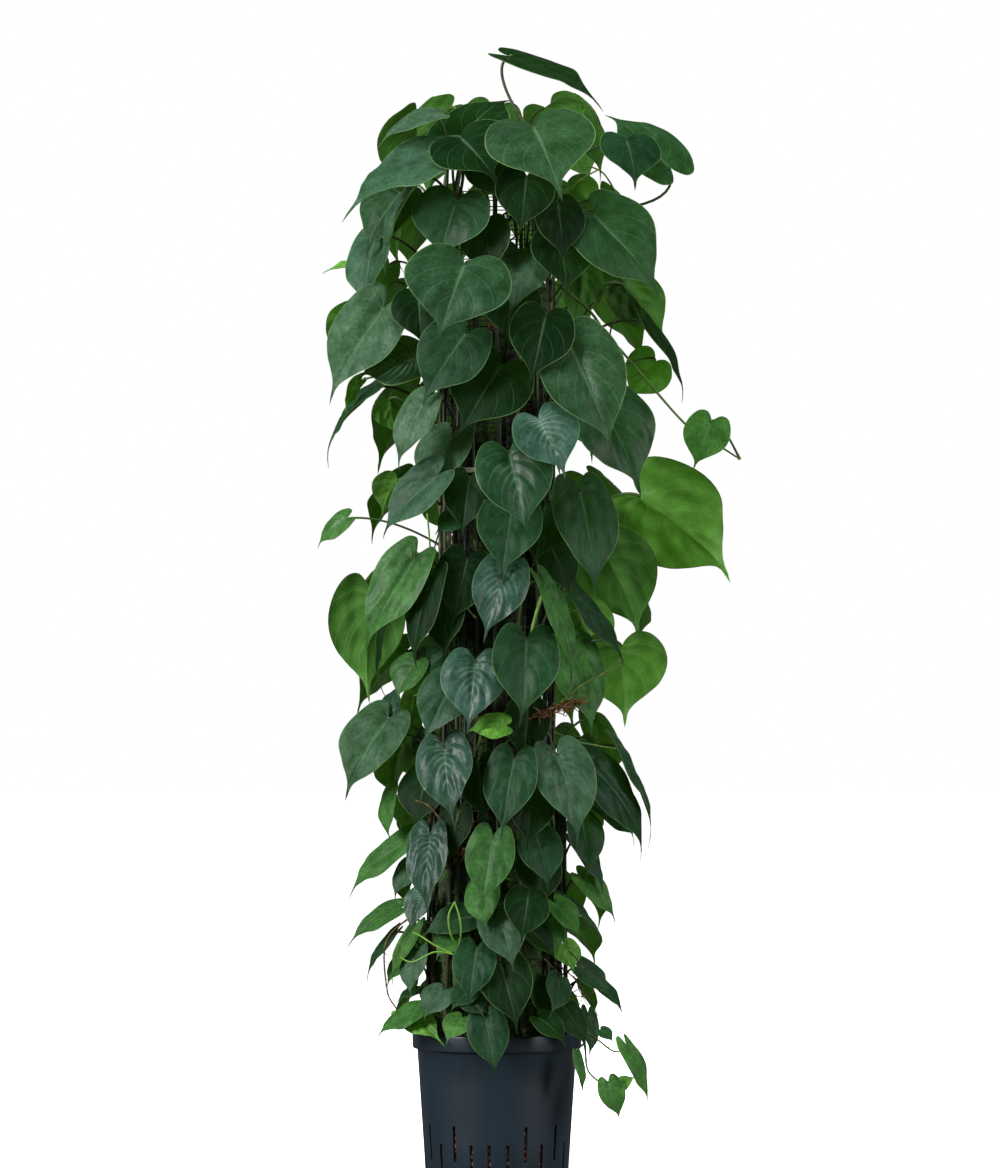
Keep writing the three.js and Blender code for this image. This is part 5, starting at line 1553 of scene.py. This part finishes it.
# %% Half section of the pot
# Radius and height of each point: base, outer wall, rim band, lip, and back down inside
POT_PROFILE = [
    (0, 0), (86, 0), (90.4, 0.3), (91.9, 1.3), (92.6, 3.2), (95.85, 52), (97.58, 78), (100.5, 122),
    (103.5, 166.8), (104.1, 168),
    (105.6, 168.7), (108.4, 169.0), (109.4, 169.8), (109.75, 171.4), (110, 187.4),
    (109.8, 189.0), (109.2, 189.8), (108.4, 190), (107.9, 189.7), (107.7, 188.8),
    (107.4, 173), (106.6, 171.4), (103.2, 170.6), (102.1, 169.5),
    (98.9, 122), (95.95, 78), (94.2, 52), (91, 4.4), (89.6, 3), (0, 3),
]
SPIN_STEPS = 150


def spun(name, profile, steps):
    """A closed solid of revolution: a point is drawn along the half section, then spun."""
    bpy.ops.object.select_all(action="DESELECT")
    bpy.ops.mesh.primitive_plane_add(size=1 * MM)
    piece = started(name)
    bpy.ops.object.mode_set(mode="EDIT")
    bpy.ops.mesh.select_all(action="SELECT")
    bpy.ops.mesh.merge(type="CENTER")
    (r0, z0), *rest = profile
    bpy.ops.transform.translate(value=(r0 * MM, 0, z0 * MM))
    for r1, z1 in rest:
        step = ((r1 - r0) * MM, 0, (z1 - z0) * MM)
        bpy.ops.mesh.extrude_region_move(TRANSFORM_OT_translate={"value": step})
        r0, z0 = r1, z1
    bpy.ops.mesh.select_all(action="SELECT")
    bpy.ops.mesh.spin(steps=steps, angle=2 * math.pi, center=(0, 0, 0), axis=(0, 0, 1))
    bpy.ops.object.mode_set(mode="OBJECT")
    clean(piece)
    return piece


pot = spun("culture_pot", POT_PROFILE, SPIN_STEPS)
print(f"pot spun, {len(pot.data.vertices)} points")

# %% Drainage slots
SLOT_COUNT = 25
SLOT_WIDTH = 4.4
SLOT_HEIGHT = 46
SLOT_FIRST_AZIMUTH = -6
SLOT_HIGH_FOOT = 27
SLOT_LOW_FOOT = 3.5
POT_BASE_RADIUS = 92.5
SLOT_CUT_DEPTH = 14


def slots():
    """Foot height and azimuth of each drainage slot: high and low in turn, three low in front."""
    half = (SLOT_COUNT - 1) // 2
    for k in range(-half, half + 1):
        high = k != 0 and k % 2 == 0
        yield (SLOT_HIGH_FOOT if high else SLOT_LOW_FOOT), SLOT_FIRST_AZIMUTH + 360 * k / SLOT_COUNT


cutters = []
for foot, azimuth in slots():
    centre = around(azimuth, (POT_BASE_RADIUS + 2) * MM, (foot + SLOT_HEIGHT / 2) * MM)
    bpy.ops.object.select_all(action="DESELECT")
    bpy.ops.mesh.primitive_cube_add(size=1, location=tuple(centre),
                                    rotation=(0, 0, math.radians(azimuth)),
                                    scale=(SLOT_WIDTH * MM, SLOT_CUT_DEPTH * MM, SLOT_HEIGHT * MM))
    cutters.append(bpy.context.object)
cutter = joined(cutters, "slot_cutters")
bpy.ops.object.transform_apply(location=True, rotation=True, scale=True)
only(pot)
apply_modifier(pot, "BOOLEAN", operation="DIFFERENCE", solver="EXACT", object=cutter)
bpy.data.objects.remove(cutter)
only(pot)
bpy.ops.object.shade_smooth_by_angle(angle=math.radians(32))
print(f"{SLOT_COUNT} slots cut, {len(pot.data.vertices)} points")

# %% [markdown]
# Polypropylene is a little waxy and scatters some light, so dark slate-grey looks soft, and
# the spark-eroded mould gives it a fine satin. The grain is drawn at about 0.7 mm, coarser than
# the real one, so that it shows. Water leaves faint chalky marks, long and mostly upright.

# %% Pot finish
MARK_WIDTH = 29.4
MARK_HEIGHT = 142.9
pot_look, tree, output = new_material("moulded_polypropylene")
place = add(tree, "TexCoord").outputs["Object"]
grain = add(tree, "TexNoise", {"Vector": place, "Scale": 1 / (0.714 * MM), "Detail": 2.0})
mark_scale = (1 / (MARK_WIDTH * MM), 1 / (MARK_WIDTH * MM), 1 / (MARK_HEIGHT * MM))
upright_marks = add(tree, "Mapping", {"Vector": place, "Scale": mark_scale})
chalk = add(tree, "TexNoise", {"Vector": upright_marks, "Scale": 1.0, "Detail": 5.0,
                               "Roughness": 0.6})
shade = add(tree, "ValToRGB", {"Fac": chalk}, [(0.25, "11202a"), (0.6, "132632"),
                                               (0.85, "172c38")])
dull = add(tree, "MapRange", {"Value": chalk, "To Min": 0.43, "To Max": 0.52})
bump = add(tree, "Bump", {"Strength": 0.25, "Distance": 0.2 * MM, "Height": grain})
plastic = add(tree, "BsdfPrincipled", {"Base Color": shade, "Roughness": dull, "IOR": 1.49,
                                       "Normal": bump})
tree.links.new(plastic.outputs[0], output.inputs["Surface"])
dress(pot, pot_look, "pot_plastic", "pot")

# %% [markdown]
# The pot holds expanded clay: rounded granules with a rough red-brown skin. Three are modelled
# and copied, a layer over the top and a few behind every slot, in front of a plain filling
# that nobody sees.

# %% Three clay granules
FILL_TOP = 171
fill = spun("clay_filling", [(0, 4), (84, 4), (94, 162), (92, FILL_TOP), (67.6, FILL_TOP),
                             (67.6, SOCKET_FLOOR), (0, SOCKET_FLOOR)], 72)
draw = random_from(8800)
granule_masters = []
for i in range(3):
    bpy.ops.object.select_all(action="DESELECT")
    bpy.ops.mesh.primitive_ico_sphere_add(subdivisions=2, radius=1)
    stone = started(f"granule_{i}")
    form = corners(stone.data)
    swell = [1 + 0.22 * noise.noise(Vector(p) * 1.3 + Vector((i * 7, 0, 0))) for p in form]
    move_corners(stone.data, form * np.array(swell)[:, None] * [1, 0.88, 0.8])
    bpy.ops.object.shade_smooth()
    granule_masters.append((stone, corners(stone.data)))
print(f"{len(granule_masters)} granules modelled")


# %% Granules on top and behind the slots
def turned_form(form, draw):
    """The granule turned at random."""
    a, b = 2 * math.pi * draw(), 2 * math.pi * draw()
    spin_z = np.array([[math.cos(a), -math.sin(a), 0], [math.sin(a), math.cos(a), 0], [0, 0, 1]])
    spin_x = np.array([[1, 0, 0], [0, math.cos(b), -math.sin(b)], [0, math.sin(b), math.cos(b)]])
    return form @ spin_z.T @ spin_x.T


def granule(centre, radius):
    """One of the granules, turned at random, at this place."""
    stone, form = granule_masters[int(draw() * 2.999)]
    points = (turned_form(form, draw) * radius + centre) * MM
    return copy_of(stone, points)


granules = []
for ring_radius in np.arange(71, 99, 7.5):
    count = int(2 * math.pi * ring_radius / 8.6)
    for i in range(count):
        azimuth = 360 * (i + 0.6 * draw()) / count
        centre = around(azimuth, ring_radius + 2.5 * (draw() - 0.5), FILL_TOP + 0.5 + 3 * draw())
        granules.append(granule(centre, 4.0 + 1.3 * draw()))
for foot, azimuth in slots():
    for z in np.arange(foot + 3, foot + SLOT_HEIGHT, 8.6):
        wall = POT_BASE_RADIUS - 2 + 11 * z / 169
        centre = around(azimuth + 3 * (draw() - 0.5), wall - 5.5, z + 2 * draw())
        granules.append(granule(centre, 3.9 + 1.2 * draw()))
for stone, _ in granule_masters:
    bpy.data.objects.remove(stone)
pebbles = joined([fill, *granules], "expanded_clay")
print(f"{len(granules)} granules laid")

# %% [markdown]
# Fired clay is matt and porous. Pores of one to two millimetres go from dark to a dusty pale
# rim, and cells as large as a granule shift the tone from one granule to the next, as batches
# from the kiln differ.

# %% Clay finish
clay_look, tree, output = new_material("expanded_clay")
place = add(tree, "TexCoord").outputs["Object"]
pores = add(tree, "TexNoise", {"Vector": place, "Scale": 1 / (1.667 * MM), "Detail": 4.0})
batch = add(tree, "TexVoronoi", {"Vector": place, "Scale": 1 / (9.09 * MM)}).outputs["Color"]
fired = add(tree, "ValToRGB", {"Fac": pores}, [(0.3, "5a2c20"), (0.5, "a5654a"),
                                               (0.72, "e2c0a4")])
mixed = add(tree, "Mix", {SHARE: 0.35, FIRST: fired, SECOND: batch},
            data_type="RGBA", blend_type="SOFT_LIGHT")
bump = add(tree, "Bump", {"Strength": 0.7, "Distance": 0.8 * MM, "Height": pores})
clay = add(tree, "BsdfPrincipled", {"Base Color": mixed, "Roughness": 0.9, "Normal": bump})
tree.links.new(clay.outputs[0], output.inputs["Surface"])
dress(pebbles, clay_look, "fired_clay", "clay_granules")

# %% [markdown]
# The plant stands on a plain pale floor, with nothing behind it, so it can be seen from every
# side. Away from the pot the paper glows, so it is as white as the room, and close to the pot
# it glows less, so a soft shadow still shows. The floor is left out of reflections and of
# bounced light, so the leaves aren't lit from below.

# %% Floor
FLOOR_SIZE = 30.0
bpy.ops.object.select_all(action="DESELECT")
bpy.ops.mesh.primitive_plane_add(size=FLOOR_SIZE, location=(0, 0, -0.3 * MM))
floor = started("studio_floor")
bpy.ops.object.transform_apply(location=True)
paper, tree, output = new_material("studio_paper")
place = add(tree, "TexCoord").outputs["Object"]
felt = add(tree, "TexNoise", {"Vector": place, "Scale": 3.0, "Detail": 2.0})
shade = add(tree, "ValToRGB", {"Fac": felt}, [(0.3, "f4f4f2"), (0.7, "f8f8f7")])
away = add(tree, "VectorMath", {0: place}, operation="LENGTH").outputs["Value"]
glow = add(tree, "MapRange", {"Value": away, "From Min": 0.12, "From Max": 0.6,
                              "To Min": 0.3, "To Max": 1.0})
matt = add(tree, "BsdfPrincipled", {"Base Color": shade, "Roughness": 0.95,
                                    "Emission Color": colour("ffffff"), "Emission Strength": glow})
tree.links.new(matt.outputs[0], output.inputs["Surface"])
floor.data.materials.append(paper)
floor.visible_glossy = False
floor.visible_diffuse = False
print(f"floor of {FLOOR_SIZE:.0f} m")

# %% [markdown]
# A plant picture is lit as softly as a cloudy day, or every leaf would throw a hard shadow.
# Two big soft lamps stand in front, the left one stronger, and only they make highlights. One
# hangs above, and one behind lets the outer leaves glow. The room is white to the camera and
# dim as a light.

# %% Lights
def softbox(name, place, target, size, power, glare=True):
    """A large soft lamp that looks at its target."""
    bpy.ops.object.light_add(type="AREA", location=place)
    lamp = started(name)
    lamp.data.shape = "RECTANGLE"
    lamp.data.size, lamp.data.size_y = size
    lamp.data.energy = power
    aim = Vector(target) - Vector(place)
    lamp.rotation_euler = aim.to_track_quat("-Z", "Y").to_euler()
    lamp.visible_glossy = glare


softbox("key", (-3.3, -2.5, 2.3), (0, 0, 0.8), (1.3, 2.2), 235)
softbox("fill", (3.3, -2.1, 1.5), (0, 0, 0.7), (1.1, 2.0), 85)
softbox("top", (-0.3, -1.2, 3.6), (0, 0, 1.0), (1.4, 1.4), 65, False)
softbox("back", (0.9, 2.2, 2.4), (0, 0, 0.9), (2.2, 1.6), 120, False)
world = bpy.data.worlds.new("studio")
world.use_nodes = True
room = world.node_tree.nodes["Background"]
room.inputs["Color"].default_value = colour("ffffff")
seen = add(world.node_tree, "LightPath").outputs["Is Camera Ray"]
strength = add(world.node_tree, "MapRange", {"Value": seen, "To Min": 0.14, "To Max": 1.0})
world.node_tree.links.new(strength.outputs[0], room.inputs["Strength"])
bpy.context.scene.world = world
bpy.context.scene.view_settings.view_transform = "Standard"
print("four lamps and a white room")

# %% [markdown]
# The masters have done their work and are removed, so that only finished pieces are left.

# %% Clear up and finish
for master in (stalk_tube, stem_tube, branch_tube, root_tube):
    bpy.data.objects.remove(master.piece)
